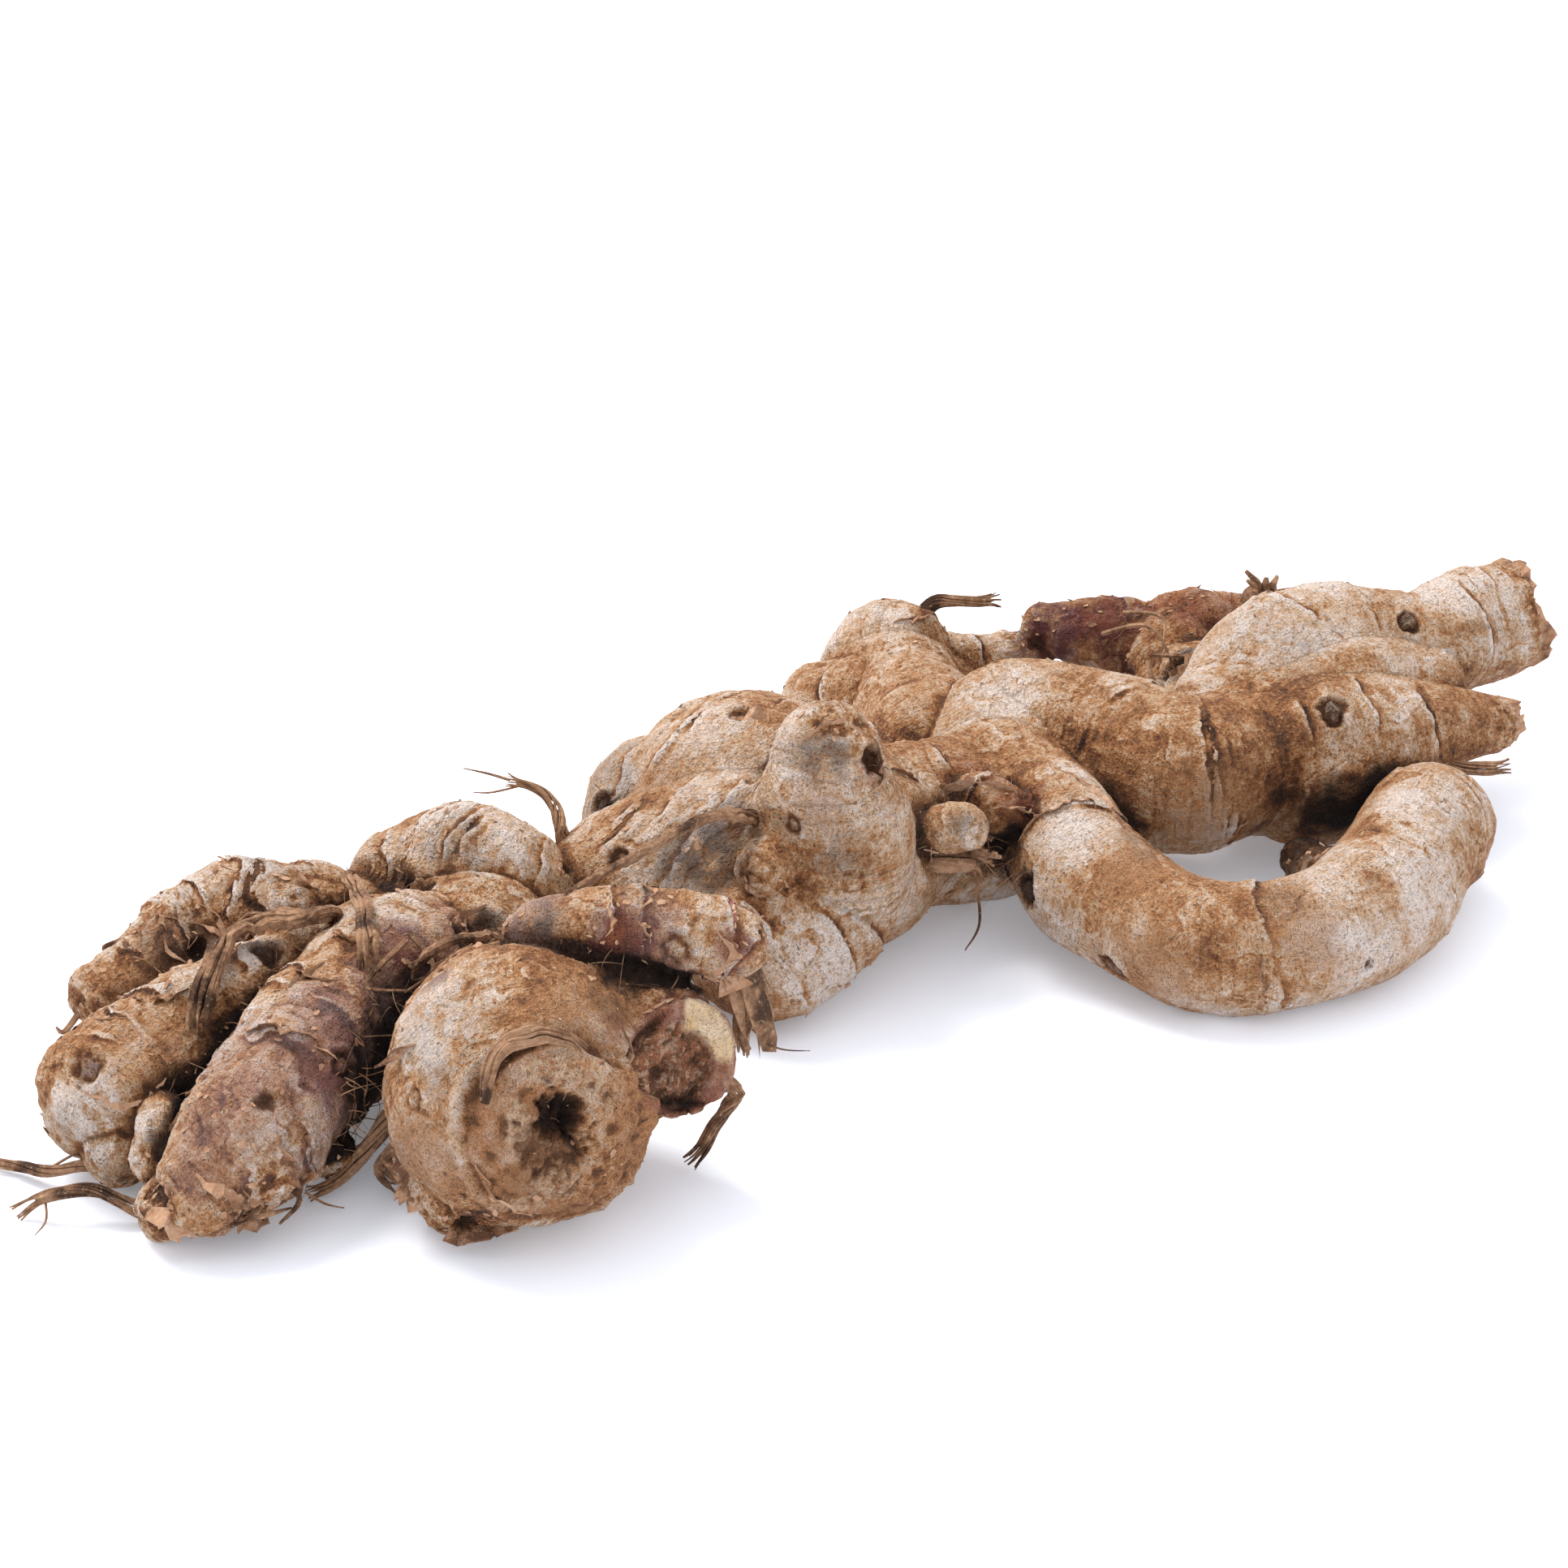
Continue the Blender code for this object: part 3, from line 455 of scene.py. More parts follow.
# Coloured places, and places of painted shade: x, y, z, radius and strength, by kind.
stainsAndShade = {
    "lilac": [(-80, -24, 14, 10, 0.75), (-89, -25, 11, 8, 0.5), (-74, -20, 19, 6, 0.8),
        (-70, -21, 15, 6, 0.7), (-53, -9, 19, 5, 0.5), (-86, -24, 13, 6, 0.6), (-83, -18, 15, 7, 0.6),
        (-60, -11, 20, 5, 0.5), (-66, -17, 19, 5, 0.7), (-37.5, -41.5, 25, 2.5, 0.6),
        (-52, -30.5, 29, 4.5, 0.8), (-45, -38, 30, 5, 0.6), (-42, -41, 26, 4, 0.6)],
    "maroon": [(-75.6, -25.4, 16, 4.2, 0.8), (-72, -23, 19, 2.5, 0.5), (-59, -13, 21, 4, 0.9),
        (-65, -30, 27, 2.2, 0.8), (59, 22, 16, 7, 1.0), (64, 16, 18, 6, 1.0), (74, 12, 18, 5, 0.5),
        (-47.6, -37.4, 30, 3.8, 1.0), (-52, -33.5, 27, 1.6, 0.9), (21, -19.5, 18, 3, 0.4),
        (-94.5, -7.5, 15, 2.0, 0.6), (18, -39, 6, 2.5, 0.6), (-36.5, -44.5, 28, 1.7, 0.9),
        (-37.5, -44.5, 25.5, 1.2, 0.8), (-18, -19, 21, 2.5, 0.25)],
    # Of the grey places, the three near (-20, -13, 22) on the hump are painted shadow under the strip that
    # stands over it; the others are grey patches of the skin.
    "grey": [(-9, -20, 33.5, 4, 0.8), (-20, -13, 21, 6.5, 1.0), (-24, -14, 22, 4.5, 0.9),
        (-17, -13, 24, 4, 0.8), (-74, 13, 15, 5, 0.6), (-42, 3, 19, 6, 0.5), (-68, -38, 24, 8, 0.35),
        (-9, -24, 22.5, 4, 0.6), (-53, -32, 29.5, 3.6, 1.0), (9, -23, 20.5, 2, 0.7),
        (-91.5, -15.5, 9.5, 1.8, 0.9), (-20, 8, 22, 7, 0.5), (-64, -3, 20, 4, 0.4), (64, -14, 26, 9, 0.25),
        (27, -33, 16, 4, 0.4), (33, -50, 15, 4, 0.4), (-60, 14, 20, 6, 0.35), (-44, -36, 32, 2.5, 0.6)],
    # dark is painted shade in the clefts, under the bud finger and in the slot under the axis, and the dark
    # hollows of a few scars.
    "dark": [(-47, -10.5, 18, 3.2, 0.9), (66, -31.7, 12.5, 3.5, 1.0), (59.7, -30.3, 11.3, 4, 1.0),
        (74, -31.6, 12, 3.2, 0.9), (-58, -22, 14, 7, 0.9), (-64, -27, 8, 6, 0.9), (-43, -35, 22.5, 4, 0.9),
        (50, -33, 10, 8, 0.8), (61.5, 1, 17, 4, 0.9), (-30, -4, 13, 6, 0.5), (17.8, -26, 10.8, 2.6, 0.6),
        (-33, -38, 18, 4, 0.7), (-71.9, -23.6, 8, 4, 0.9), (-71.5, -4, 19.5, 2.6, 0.6),
        (-52, -20, 19, 6, 0.9), (-37.5, -36.5, 27, 3, 0.6), (-51.6, -43.5, 25, 3.5, 0.4)],
    "pale": [(-20, 5.5, 20.5, 6, 0.9), (-9.5, -25.4, 14.8, 7, 1.0), (-96, -10, 11, 6, 1.0),
        (-40.7, -1.5, 21, 4.5, 1.0), (92, -17.7, 24.5, 11, 1.0), (41.5, -14.7, 23.5, 7, 1.0),
        (42.5, -52, 16, 7, 1.0), (-67, 14, 19, 9, 1.0), (71, -25, 21.5, 6, 0.8), (-83, -21, 18, 4, 0.7),
        (-61.5, -37.5, 29, 5, 1.0), (-68, -33, 26, 9, 1.0), (-11, 3, 30, 10, 0.2), (32, 0, 23, 7, 0.6),
        (22, -26, 16, 5, 1.0), (-43.4, -42.6, 28.4, 3.2, 0.9), (50, -52, 14, 9, 0.9), (-12, -25, 8, 7, 0.6),
        (66, -12, 27, 10, 0.6), (-43, 8, 24, 7, 0.6), (-68, 17, 19, 8, 0.5), (60, -45, 16, 8, 0.7),
        (40, -56, 10, 8, 0.7), (-8, -24, 16, 7, 0.3)],
    "rust": [(-47.6, -37.4, 30, 2.6, 1.0), (-52.5, -46, 24, 2.5, 0.5), (-59, -13, 21, 2, 0.4),
        (-3.8, -22, 31.2, 3.0, 0.7), (-73.3, -25, 17, 1.4, 0.7), (-38, -44.5, 28, 2.2, 0.8),
        (-71.5, -4, 19.5, 2.4, 0.5), (20, -17, 18.5, 4, 0.6), (72, 14, 18, 5, 0.7), (79, 11, 18, 4, 0.6),
        (64, 20, 18, 3, 0.5), (18, -12, 19, 4, 0.5)],
    "tan": [(-73, -41.4, 13, 8, 1.0), (-57, -43, 25, 7, 0.9), (-52, -43.5, 24, 7, 1.0),
        (-52, -47, 14, 8, 0.9), (19.5, -45.5, 7.5, 7, 0.8), (23, -36, 15, 6, 0.7), (-12, -23, 29, 4, 0.6),
        (44, -25, 14, 8, 0.7), (-88, -8, 15, 6, 0.5), (34, -54, 11, 6, 0.7), (-20, -2, 25, 6, 0.4),
        (-79, 11, 12, 5, 0.6)],
    "brown": [(-55, -40, 27, 9, 1.0), (-54, -48, 14, 8, 1.0), (-67, -45, 8, 9, 0.9), (25, -38, 14, 10, 0.8),
        (-48, -40, 22, 6, 1.0), (-62, -48, 6, 8, 0.7), (24, -46, 9, 9, 0.8), (56, -22, 20, 9, 0.7),
        (31, -49, 14, 6, 0.7), (26, -52, 8, 7, 0.7), (40, -18, 20, 8, 0.8), (74, -26, 16, 12, 0.8),
        (-88, -27, 8, 8, 0.6), (-88, -7, 15, 8, 0.3), (-75, 12, 14, 8, 0.5), (-76.8, 10.5, 12.6, 5, 0.6),
        (5, -8, 22, 9, 0.5), (14, -12, 20, 6, 0.7), (-95, -24, 6, 6, 0.7), (50, -22, 20, 9, 0.5),
        (51, -27.7, 13.5, 7, 0.9), (-51.6, -43.7, 25, 6, 0.8), (19, -45.5, 7.5, 6, 0.6),
        (-77, 10.5, 12.5, 5, 0.9)],
}


# The fronts of the bulb and of the stub, measured right and up from their middles, as the camera sees them.
frontRight = np.array((0.819, -0.574, 0.0))
frontUp = np.array((0.251, 0.359, 0.899))
# "chalk" holds the crumbly pale places: right, up, half width, half height and strength.
stemScar = {
    "middle": (-63.5, -49.5, 17.0), "reach": 14.5, "ring": (1.0, 0.2, 10.2), "bowl": (0.8, 0.9, 5.6),
    "hole": (1.4, 1.7, 2.5), "rot": (0.2, -1.0, 3.6),
    "chalk": [(-0.3, 6.4, 3.4, 1.6, 1.0), (-3.2, 0.4, 1.5, 3.8, 1.0), (0.2, -4.8, 2.7, 2.6, 0.8),
              (5.4, 4.4, 2.2, 2.6, 0.55), (-3.0, -7.4, 3.0, 0.8, 0.8), (2.5, 8.4, 2.2, 0.7, 0.5)],
}
stubFace = {"middle": (-44.9, -45.8, 17.8), "reach": 8.5}


def faceOn(points, normals, spot):
    # Points near a place that face the front, with how far right and up of it they are.
    off = points - spot["middle"]
    near = reachOf(points, spot["middle"]) < spot["reach"]
    here = np.flatnonzero(near & (normals @ np.cross(frontRight, frontUp) > 0.05))
    return here, off[here] @ frontRight, off[here] @ frontUp


def stemScarFields(points, normals):
    # The scar of the old stem: a rim, a sunk gap at its top darkened with painted shadow, a knobbly ring and
    # pith with a rotted hole.
    here, u, v = faceOn(points, normals, stemScar)
    spots = points[here]
    broad, fine, crumb = (noiseAt(spots, size, seed) for size, seed in ((2.6, 40), (1.1, 41), (0.6, 42)))

    def away(name):
        x, y, size = stemScar[name]
        return np.hypot(u - x, v - y) / size

    x, y, size = stemScar["ring"]
    r = np.hypot(u - x, v - y) - size + 0.5 * noiseAt(spots, 4, 46) + 0.15 * fine
    turn = np.arctan2(v - y, u - x)
    left = smoothstep(-0.1, 0.6, np.cos(turn - 3.4))
    top = smoothstep(0.25, 0.8, np.cos(turn - 1.95))
    within = smoothstep(0.2, -0.5, r)
    rise = 0.45 * left * bell(r - 0.5, 0.7) - 0.45 * left * bell(r + 0.3, 0.35)
    rise -= 0.3 * (1 - left) * bell(r, 0.35)
    gap = top * bell(r + 0.9, 0.8)
    rise -= 1.3 * gap
    rise += within * (0.6 * broad + 0.25 * fine + 0.12 * crumb)
    rise -= 1.0 * smoothstep(1.1, 0.45, away("bowl") + 0.25 * broad)
    hole = smoothstep(1.15, 0.75, away("hole") + 0.5 * fine + 0.25 * crumb)
    rot = smoothstep(1.15, 0.75, away("rot") + 0.4 * fine + 0.35 * crumb)
    slit = bell(u - 2.9 + 0.3 * (v + 1) + 0.3 * fine, 0.33)
    slit *= smoothstep(-3.6, -3.0, v) * smoothstep(1.4, 0.6, v)
    rise -= 1.8 * hole + 0.6 * rot + 1.2 * slit
    chalk = np.zeros(len(here))
    for x, y, wide, tall, strength in stemScar["chalk"]:
        d = np.hypot((u - x) / wide, (v - y) / tall) + 0.45 * fine + 0.3 * crumb
        chalk = np.maximum(chalk, strength * smoothstep(1.15, 0.6, d))
    rise += 0.25 * chalk
    chalk *= 1 - np.maximum(hole, 0.85 * rot)
    # The hole, rot and slit are dark in themselves; the gap's share of dark is painted shadow under the
    # collar.
    dark = np.maximum(np.maximum(hole, 0.7 * rot), np.maximum(0.8 * slit, 0.7 * gap))
    amber = within * (0.4 + 0.6 * smoothstep(0.6, -0.6, u / 6 - 0.2 + 0.5 * broad))
    return here, rise, dark, chalk, amber


def stubFields(points, normals):
    # The cut end of the stub: a raised red rim round torn flesh, with a clean wedge of it.
    here, u, v = faceOn(points, normals, stubFace)
    spots = points[here]
    broad, fine, crumb = (noiseAt(spots, size, seed) for size, seed in ((1.8, 43), (0.8, 44), (0.5, 45)))
    r = np.hypot(u / 0.92, v / 1.12) + 0.2 * broad
    inner = np.hypot((u + 0.7) / 0.85, v + 0.6) + 0.4 * broad + 0.2 * fine
    wedge = smoothstep(3.8, 4.3, np.hypot(u + 0.7, v + 0.9) + 0.3 * broad) * smoothstep(5.7, 5.4, r)
    wedge *= smoothstep(-0.1, 0.35, u) * smoothstep(0.0, 1.2, v + 0.25 * u)
    torn = smoothstep(4.6, 4.1, inner) * (1 - wedge)
    rise = 0.4 * bell(r - 5.3, 0.45) - torn * (1.0 + 0.6 * fine + 0.4 * crumb)
    crescent = bell(np.hypot(u + 0.2, v) - 4.6, 0.5) * smoothstep(-1.5, -3, u) * smoothstep(-3.5, -1.5, v)
    slits = bell(v + 4.5 + 0.2 * u + 0.3 * broad, 0.35) * (u > -0.6) * (u < 3.6)
    slits = np.maximum(slits, bell(v + 5.6 + 0.3 * broad, 0.25) * (u > -1.6) * (u < 0.6))
    rise -= 1.2 * crescent + 0.9 * slits
    return here, rise, np.maximum(crescent, slits), torn, wedge, smoothstep(6.4, 5.6, r)


def stainAndShadeFields(points):
    ragged = 0.4 * noiseAt(points, 4.0, 11) + 0.25 * noiseAt(points, 1.4, 12)
    fields = {}
    for kind, spots in stainsAndShade.items():
        total = np.zeros(len(points))
        for x, y, z, radius, strength in spots:
            middle = points[reachOf(points, (x, y, z)).argmin()]
            d = reachOf(points, middle) / radius
            total = np.maximum(total, strength * smoothstep(1.15, 0.35, d + ragged))
        fields[kind] = total
    return fields


def openness(points, normals, tree, edges, reach=15, rays=10, every=5):
    # Share of the directions over each point in which nothing is near; the skin's painted shade reads it.
    ways = []
    for i in range(rays):
        tall = (i + 0.5) / rays
        flat = math.sqrt(1 - tall * tall)
        ways.append(Vector((flat * math.cos(2.4 * i), flat * math.sin(2.4 * i), tall + 0.05)))
    free = np.zeros(len(points))
    known = np.zeros(len(points), bool)
    known[::every] = True
    for i in range(0, len(points), every):
        up = Vector(normals[i])
        turn = up.to_track_quat("Z", "Y")
        start = Vector(points[i]) + up * 0.3
        hits = sum(1 for way in ways if tree.ray_cast(start, turn @ way, reach)[0] is not None)
        free[i] = 1 - hits / rays
    return spread(free, edges, 8, known)


def setField(mesh, name, values):
    kind, slot = ("FLOAT_VECTOR", "vector") if values.ndim == 2 else ("FLOAT", "value")
    mesh.attributes.new(name, kind, "POINT").data.foreach_set(slot, values.astype(np.float32).ravel())


def fusedBody():
    # The fingers as one smooth mesh, in millimetres.
    tubes = []
    for part in fingers.values():
        path = pathOf(part["stations"], skinShape["step"])
        tubes.append(sweep(capped(path, end=not part["cut"]), skinShape["sides"]))
    body = toObject(merged(tubes), "body", toFrame=False)
    remesh = body.modifiers.new("fuse", "REMESH")
    remesh.mode = "VOXEL"
    remesh.voxel_size = skinShape["voxel"]
    soften = body.modifiers.new("soften", "SMOOTH")
    soften.factor = 0.5
    soften.iterations = skinShape["smoothing"]
    applyModifiers(body)
    return body


def growSkin(body):
    # Raises the skin's relief on the body and stores what its colours read.
    shape = skinShape
    mesh = body.data
    paths = [pathOf(part["stations"], shape["step"]) for part in fingers.values()]
    points, normals = rowsOf(mesh, "co"), rowsOf(mesh, "normal")
    edges = np.empty(len(mesh.edges) * 2, np.int32)
    mesh.edges.foreach_get("vertices", edges)
    edges = edges.reshape(-1, 2)
    which, other, along, turn, radius, lead = nearestFinger(points, paths)
    clear = np.clip(lead / 2.0, 0, 1)
    deep, rough, scurfy = (np.array([part[key] for part in fingers.values()], float)
                           for key in ("crease", "rough", "scurf"))
    rough, scurfy = spread(rough[which], edges, 12), spread(scurfy[which], edges, 12)
    torn = tornField(points)
    rough = np.minimum(rough + torn, 1.3)
    gap, ringHeight, place = ringFields(points, which, along, turn, rough)
    around = np.column_stack([np.cos(turn) * radius, np.sin(turn) * radius])
    ridge = np.where(gap < 0, np.exp(gap / shape["ringRise"]), np.exp(-gap / shape["ringDrop"]))
    groove = shape["groove"] * bell(gap - 0.8, 0.6)
    show = clear * ringHeight
    rise = shape["ringHeight"] * show * (ridge - groove)
    rise += shape["lumps"] * noiseAt(points, 12, 4) + shape["knobs"] * noiseAt(points, 5, 5) * rough**1.5
    bent = points + 0.9 * np.column_stack([noiseAt(points, 3, seed) for seed in (60, 61, 62)])
    bands = np.column_stack([around / 3.0, place]) + 0.9 * (bent - points)
    folds = np.maximum(1 - np.abs(noiseAt(bands, 3.4, 6)) * 3, 0) ** 2
    folds *= smoothstep(0, 0.4, noiseAt(points, 8, 7))
    rise -= shape["creases"] * folds * rough
    rise += 0.22 * noiseAt(bent, 2.4, 63) * rough
    rise += shape["growthLines"] * noiseAt(np.column_stack([place / 1.1, around / 8]), 1, 8) * (0.3 + rough)
    rise += shape["wrinkles"] * noiseAt(np.column_stack([around / 0.9, place / 6]), 1, 9) * rough
    rise -= np.maximum(deep[which], deep[other]) * np.exp(-np.maximum(lead, 0) / shape["creaseWidth"])
    plate = noiseAt(bent, 10, 50) + 0.3 * noiseAt(points, 2.6, 51) + 0.1 * noiseAt(points, 0.9, 52) - 0.12
    peel = smoothstep(-0.03, 0.03, plate)
    rise += shape["peel"] * peel * (0.25 + rough)
    crustNoise = noiseAt(points, 9, 10) + 0.7 * noiseAt(points, 4, 13) + 0.5 * noiseAt(points, 1.6, 14)
    crust = smoothstep(-0.25, 0.45, crustNoise + 1.5 * (scurfy - 0.5))
    crumbs = noiseAt(points, 0.9, 15) + 0.5 * noiseAt(points, 0.6, 16)
    rise += crust * (shape["crust"] + 0.08 * crumbs) + shape["grit"] * crumbs * 0.5
    rise += shape["torn"] * torn * (noiseAt(points, 1.9, 53) + 0.6 * noiseAt(points, 0.9, 54) - 0.2)
    scarRise, inside, rim = scarFields(points, normals)
    rise += scarRise
    chalk, flesh, raw, red, amber = (np.zeros(len(points)) for _ in range(5))
    # hole carries the stem scar's dark places into inside, with the painted shadow of its top gap.
    here, faceRise, hole, chalky, warm = stemScarFields(points, normals)
    rise[here] += faceRise
    inside[here] = np.maximum(inside[here], hole)
    chalk[here], amber[here] = chalky, warm
    here, faceRise, slits, tornHere, wedge, face = stubFields(points, normals)
    rise[here] += faceRise
    inside[here] = np.maximum(inside[here], slits)
    raw[here], flesh[here], red[here] = tornHere, wedge, face
    print("skin: relief worked out for", len(points), "points")
    points += normals * rise[:, None]
    points[:, 2] = np.maximum(points[:, 2], lowest)
    mesh.vertices.foreach_set("co", points.astype(np.float32).ravel())
    mesh.update()
    tree = BVHTree.FromPolygons(points.tolist(), [tuple(f.vertices) for f in mesh.polygons])
    free = openness(points, rowsOf(mesh, "normal"), tree, edges)
    # sky gives the skin painted light on upward faces; free, pit and hollow give it painted shade in clefts
    # and hollows.
    fields = {
        "sky": spread(rowsOf(mesh, "normal")[:, 2], edges, 8), "free": free,
        "pit": np.clip((spread(rise, edges, 10) - rise) * 2.6 + 0.5, 0, 1),
        "hollow": np.clip((spread(rise, edges, 60) - rise) * 1.6 + 0.5, 0, 1),
        "grow": np.column_stack([around, place]), "peel": plate, "ringGap": gap,
        "ringShow": np.clip(show, 0, 1), "inside": inside, "rim": rim, "crust": crust, "chalk": chalk,
        "raw": raw, "flesh": flesh, "red": red, "amber": amber, "torn": torn, **stainAndShadeFields(points),
    }
    for name, values in fields.items():
        setField(mesh, name, values)
    mesh.transform(Matrix.Scale(mm, 4) @ Matrix.Translation(-origin))
    mesh.shade_smooth()
    print("skin: coloured places set")
    loose = (rough * (0.2 + crust) + 2.0 * np.exp(-np.abs(gap)) * show + 2 * torn) * (rough > 0.3)
    return tree, points, normals, free, loose


def cutSkin(body, names):
    # The skin in closed lengths that meet face to face, so that each stays a fair size.
    cuts = [(x - origin.x) * mm for x in skinShape["cuts"]]
    pieces = []
    for name, low, high in zip(names, [None] + cuts, cuts + [None]):
        bm = bmesh.new()
        bm.from_mesh(body.data)
        for x, way in ((low, -1), (high, 1)):
            if x is None:
                continue
            whole = bm.verts[:] + bm.edges[:] + bm.faces[:]
            cut = bmesh.ops.bisect_plane(bm, geom=whole, dist=1e-7, plane_co=(x, 0, 0), plane_no=(way, 0, 0),
                                         clear_outer=True)["geom_cut"]
            rimEdges = [g for g in cut if isinstance(g, bmesh.types.BMEdge)]
            for edge in rimEdges:
                edge.smooth = False
            bmesh.ops.holes_fill(bm, edges=rimEdges, sides=0)
        pieces.append(toObject(bm, name, toFrame=False))
    bpy.data.objects.remove(body)
    return pieces


# Dried roots, hairs, bark flaps, papery scale edges and flakes

# Dried roots: rows of x, y, z and radius, from where each leaves the body to its tip.
roots = {
    "strapOverPurple": [(-53, 10, 17.5, 0.9), (-56.5, 3, 20.8, 1), (-59.5, -4.5, 22.5, 1),
        (-62.5, -10.5, 23.2, 1), (-64.5, -14.5, 22.8, 1.2), (-65, -15.5, 19.5, 1)],
    "strapOverLeft": [(-60.5, 0, 18.5, 1), (-63.5, -3.4, 21.3, 1.3), (-67.5, -3, 21.8, 1.5),
        (-71, -2, 22, 1.5), (-74.5, -2.5, 21.7, 1.5), (-78, -5.4, 20.8, 1.4), (-80.7, -7.8, 19.3, 1.4),
        (-82.3, -9.2, 16.8, 1.3), (-82, -8.5, 14, 1.1)],
    "stemCollar": [(-69.6, -46.9, 21, 0.5), (-69, -46.9, 24.2, 0.9), (-66.6, -46.6, 26.2, 1.1),
        (-63.6, -47.2, 26.8, 1.1), (-60.9, -48.6, 26.2, 0.9), (-59.4, -49.8, 24.8, 0.5)],
    "twistBehindBulb": [(-51, -17.5, 21, 1), (-56, -23, 25, 1.1), (-58.6, -22.8, 25.3, 1.1),
        (-60.2, -20.5, 23.3, 1), (-59.5, -15.5, 19, 0.9)],
    "stripOverHump": [(-12.5, -14, 22.5, 0.9), (-18.5, -16, 26, 1.1), (-24, -17.6, 27.2, 1.1),
        (-30, -20.5, 28.2, 1), (-37, -24.2, 29.4, 0.9), (-43.5, -27.8, 30.8, 0.8),
        (-49.5, -30.5, 31.2, 0.8), (-52, -31, 29.5, 0.8)],
    "groundRootFront": [(-89, -24, 6, 1.1), (-92, -21.5, 2.6, 1), (-94, -17.7, 2.1, 0.9),
        (-96, -15.8, 3.4, 0.8), (-98, -13.6, 4.2, 0.75), (-100.3, -11.9, 4, 0.7), (-102.5, -10, 2.8, 0.7),
        (-105, -9.5, 1.5, 0.65)],
    "groundRootBack": [(-89.5, -9.5, 7, 0.9), (-93.5, -9.5, 4, 0.8), (-96.2, -7.2, 3.3, 0.75),
        (-98.9, -4.7, 2.4, 0.7), (-100.6, -1, 1.8, 0.65), (-102, 1.2, 1.5, 0.65), (-103.5, 3.2, 1.5, 0.6)],
    "tuftLeft": [(-67, -25, 10, 1), (-71.6, -24.8, 5.5, 1), (-73.3, -24.2, 3.4, 0.9),
        (-75.8, -24.1, 2.2, 0.8), (-78, -23.7, 1.7, 0.7)],
    "tuftRight": [(-66.5, -28, 9, 0.9), (-70.8, -27.2, 4.8, 0.8), (-70.5, -27.5, 2.8, 0.8),
        (-69.5, -28, 1.9, 0.8)],
    "hangingStubRoot": [(-40.5, -42, 14, 0.9), (-37.4, -44.3, 10.8, 0.9), (-38.3, -43.7, 8.3, 0.9),
        (-39, -42.6, 5.8, 0.85), (-40.4, -42.2, 3.4, 0.8), (-41.4, -41.6, 1.8, 0.75)],
    "notchRoot": [(-28.6, 3, 15.5, 0.9), (-28.8, 3.5, 19.3, 0.8), (-28.3, 5.2, 21, 0.7),
        (-28.6, 6.8, 22.4, 0.65), (-29.8, 8.4, 23.4, 0.6), (-31.8, 10.3, 24, 0.6)],
    "sheath": [(-35, -40, 23.5, 1.4), (-33.5, -40, 19.5, 1.7), (-32.8, -39.6, 16.5, 1.5),
        (-33.2, -39.4, 13.5, 1.2), (-32.6, -39.2, 11, 0.8)],
    "backRoot": [(41, 30, 17.5, 1.1), (44, 29.4, 20.4, 1), (46.2, 27.8, 20.8, 0.8), (48.7, 26, 20.8, 0.8),
        (51.2, 25.2, 20.8, 0.8)],
    "bracketRoot": [(0.5, -14.5, 13, 1.3), (5.7, -19.4, 14.5, 1.3), (8.2, -21.4, 15, 1.4),
        (11, -23, 15, 1.4), (12.3, -24.2, 14.2, 1.6)],
    "tipRoot": [(74.5, -25.5, 11.8, 0.9), (78.1, -29, 11.3, 0.9), (79.8, -32, 11.3, 0.9),
        (82, -34, 11.5, 0.85), (84.1, -35.6, 12, 0.7)],
    "backStub": [(83, 11.8, 15.5, 2), (82.9, 10, 18.5, 2.1), (83.1, 9.2, 20.5, 2)],
}

rootShape = {"step": 0.55, "sides": 5, "strands": 9, "strandSize": 0.36, "flat": 0.34, "round": 0.85,
             "twist": 0.09, "frayed": 0.16}
flatRoots = ("strapOverPurple", "strapOverLeft", "twistBehindBulb", "stripOverHump", "stemCollar", "sheath")


def strandsOf(path, tree, seed, flat):
    # A dried root as a bundle of fibres, frayed at its end: flat on the skin, or else round and twisted.
    shape = rootShape
    draw = random.Random(seed)
    points = [Vector(row[:3]) for row in path]
    across = None
    sides = []
    for i, point in enumerate(points):
        along = wayAt(points, i)
        up = tree.find_nearest(point)[1]
        side = along.cross(up if flat else Vector((0.2, 0.3, 1.0))).normalized()
        if across is not None and side.dot(across) < 0:
            side = -side
        across = side if across is None else (across * 0.6 + side * 0.4).normalized()
        sides.append((across, along.cross(across).normalized()))
    tubes = []
    for k in range(shape["strands"]):
        start = 2 * math.pi * k / shape["strands"] + draw.uniform(-0.2, 0.2)
        pace, phase = draw.uniform(0.15, 0.5), draw.uniform(0, 6.3)
        frays = draw.uniform(0.3, 1.6)
        stop = len(points) - (0 if k % 3 else draw.randrange(0, max(1, len(points) // 6)))
        rows = []
        for i in range(stop):
            size = path[i][3]
            left = (len(points) - 1 - i) / max(1, len(points) - 1)
            loose = 1 + frays * max(0.0, 1 - left / shape["frayed"]) ** 2 + 0.16 * math.sin(pace * i + phase)
            turn = start + (0.05 * math.sin(0.3 * i) if flat else shape["twist"] * i)
            wide, tall = sides[i]
            spot = points[i] + Vector((0, 0, 0.5 * size if flat else 0))
            spot = spot + wide * math.cos(turn) * size * loose * (0.75 if flat else 0.8)
            spot += tall * math.sin(turn) * size * loose * 0.8 * (shape["flat"] if flat else shape["round"])
            thin = shape["strandSize"] * size * (0.75 + 0.3 * math.sin(0.7 * pace * i + 2 * phase))
            thin *= 1 - 0.55 * max(0.0, 1 - left / shape["frayed"])
            spot.z = max(spot.z, origin.z + thin)
            rows.append((*spot, thin))
        if len(rows) > 2:
            tubes.append(sweep(rows, shape["sides"]))
    return tubes


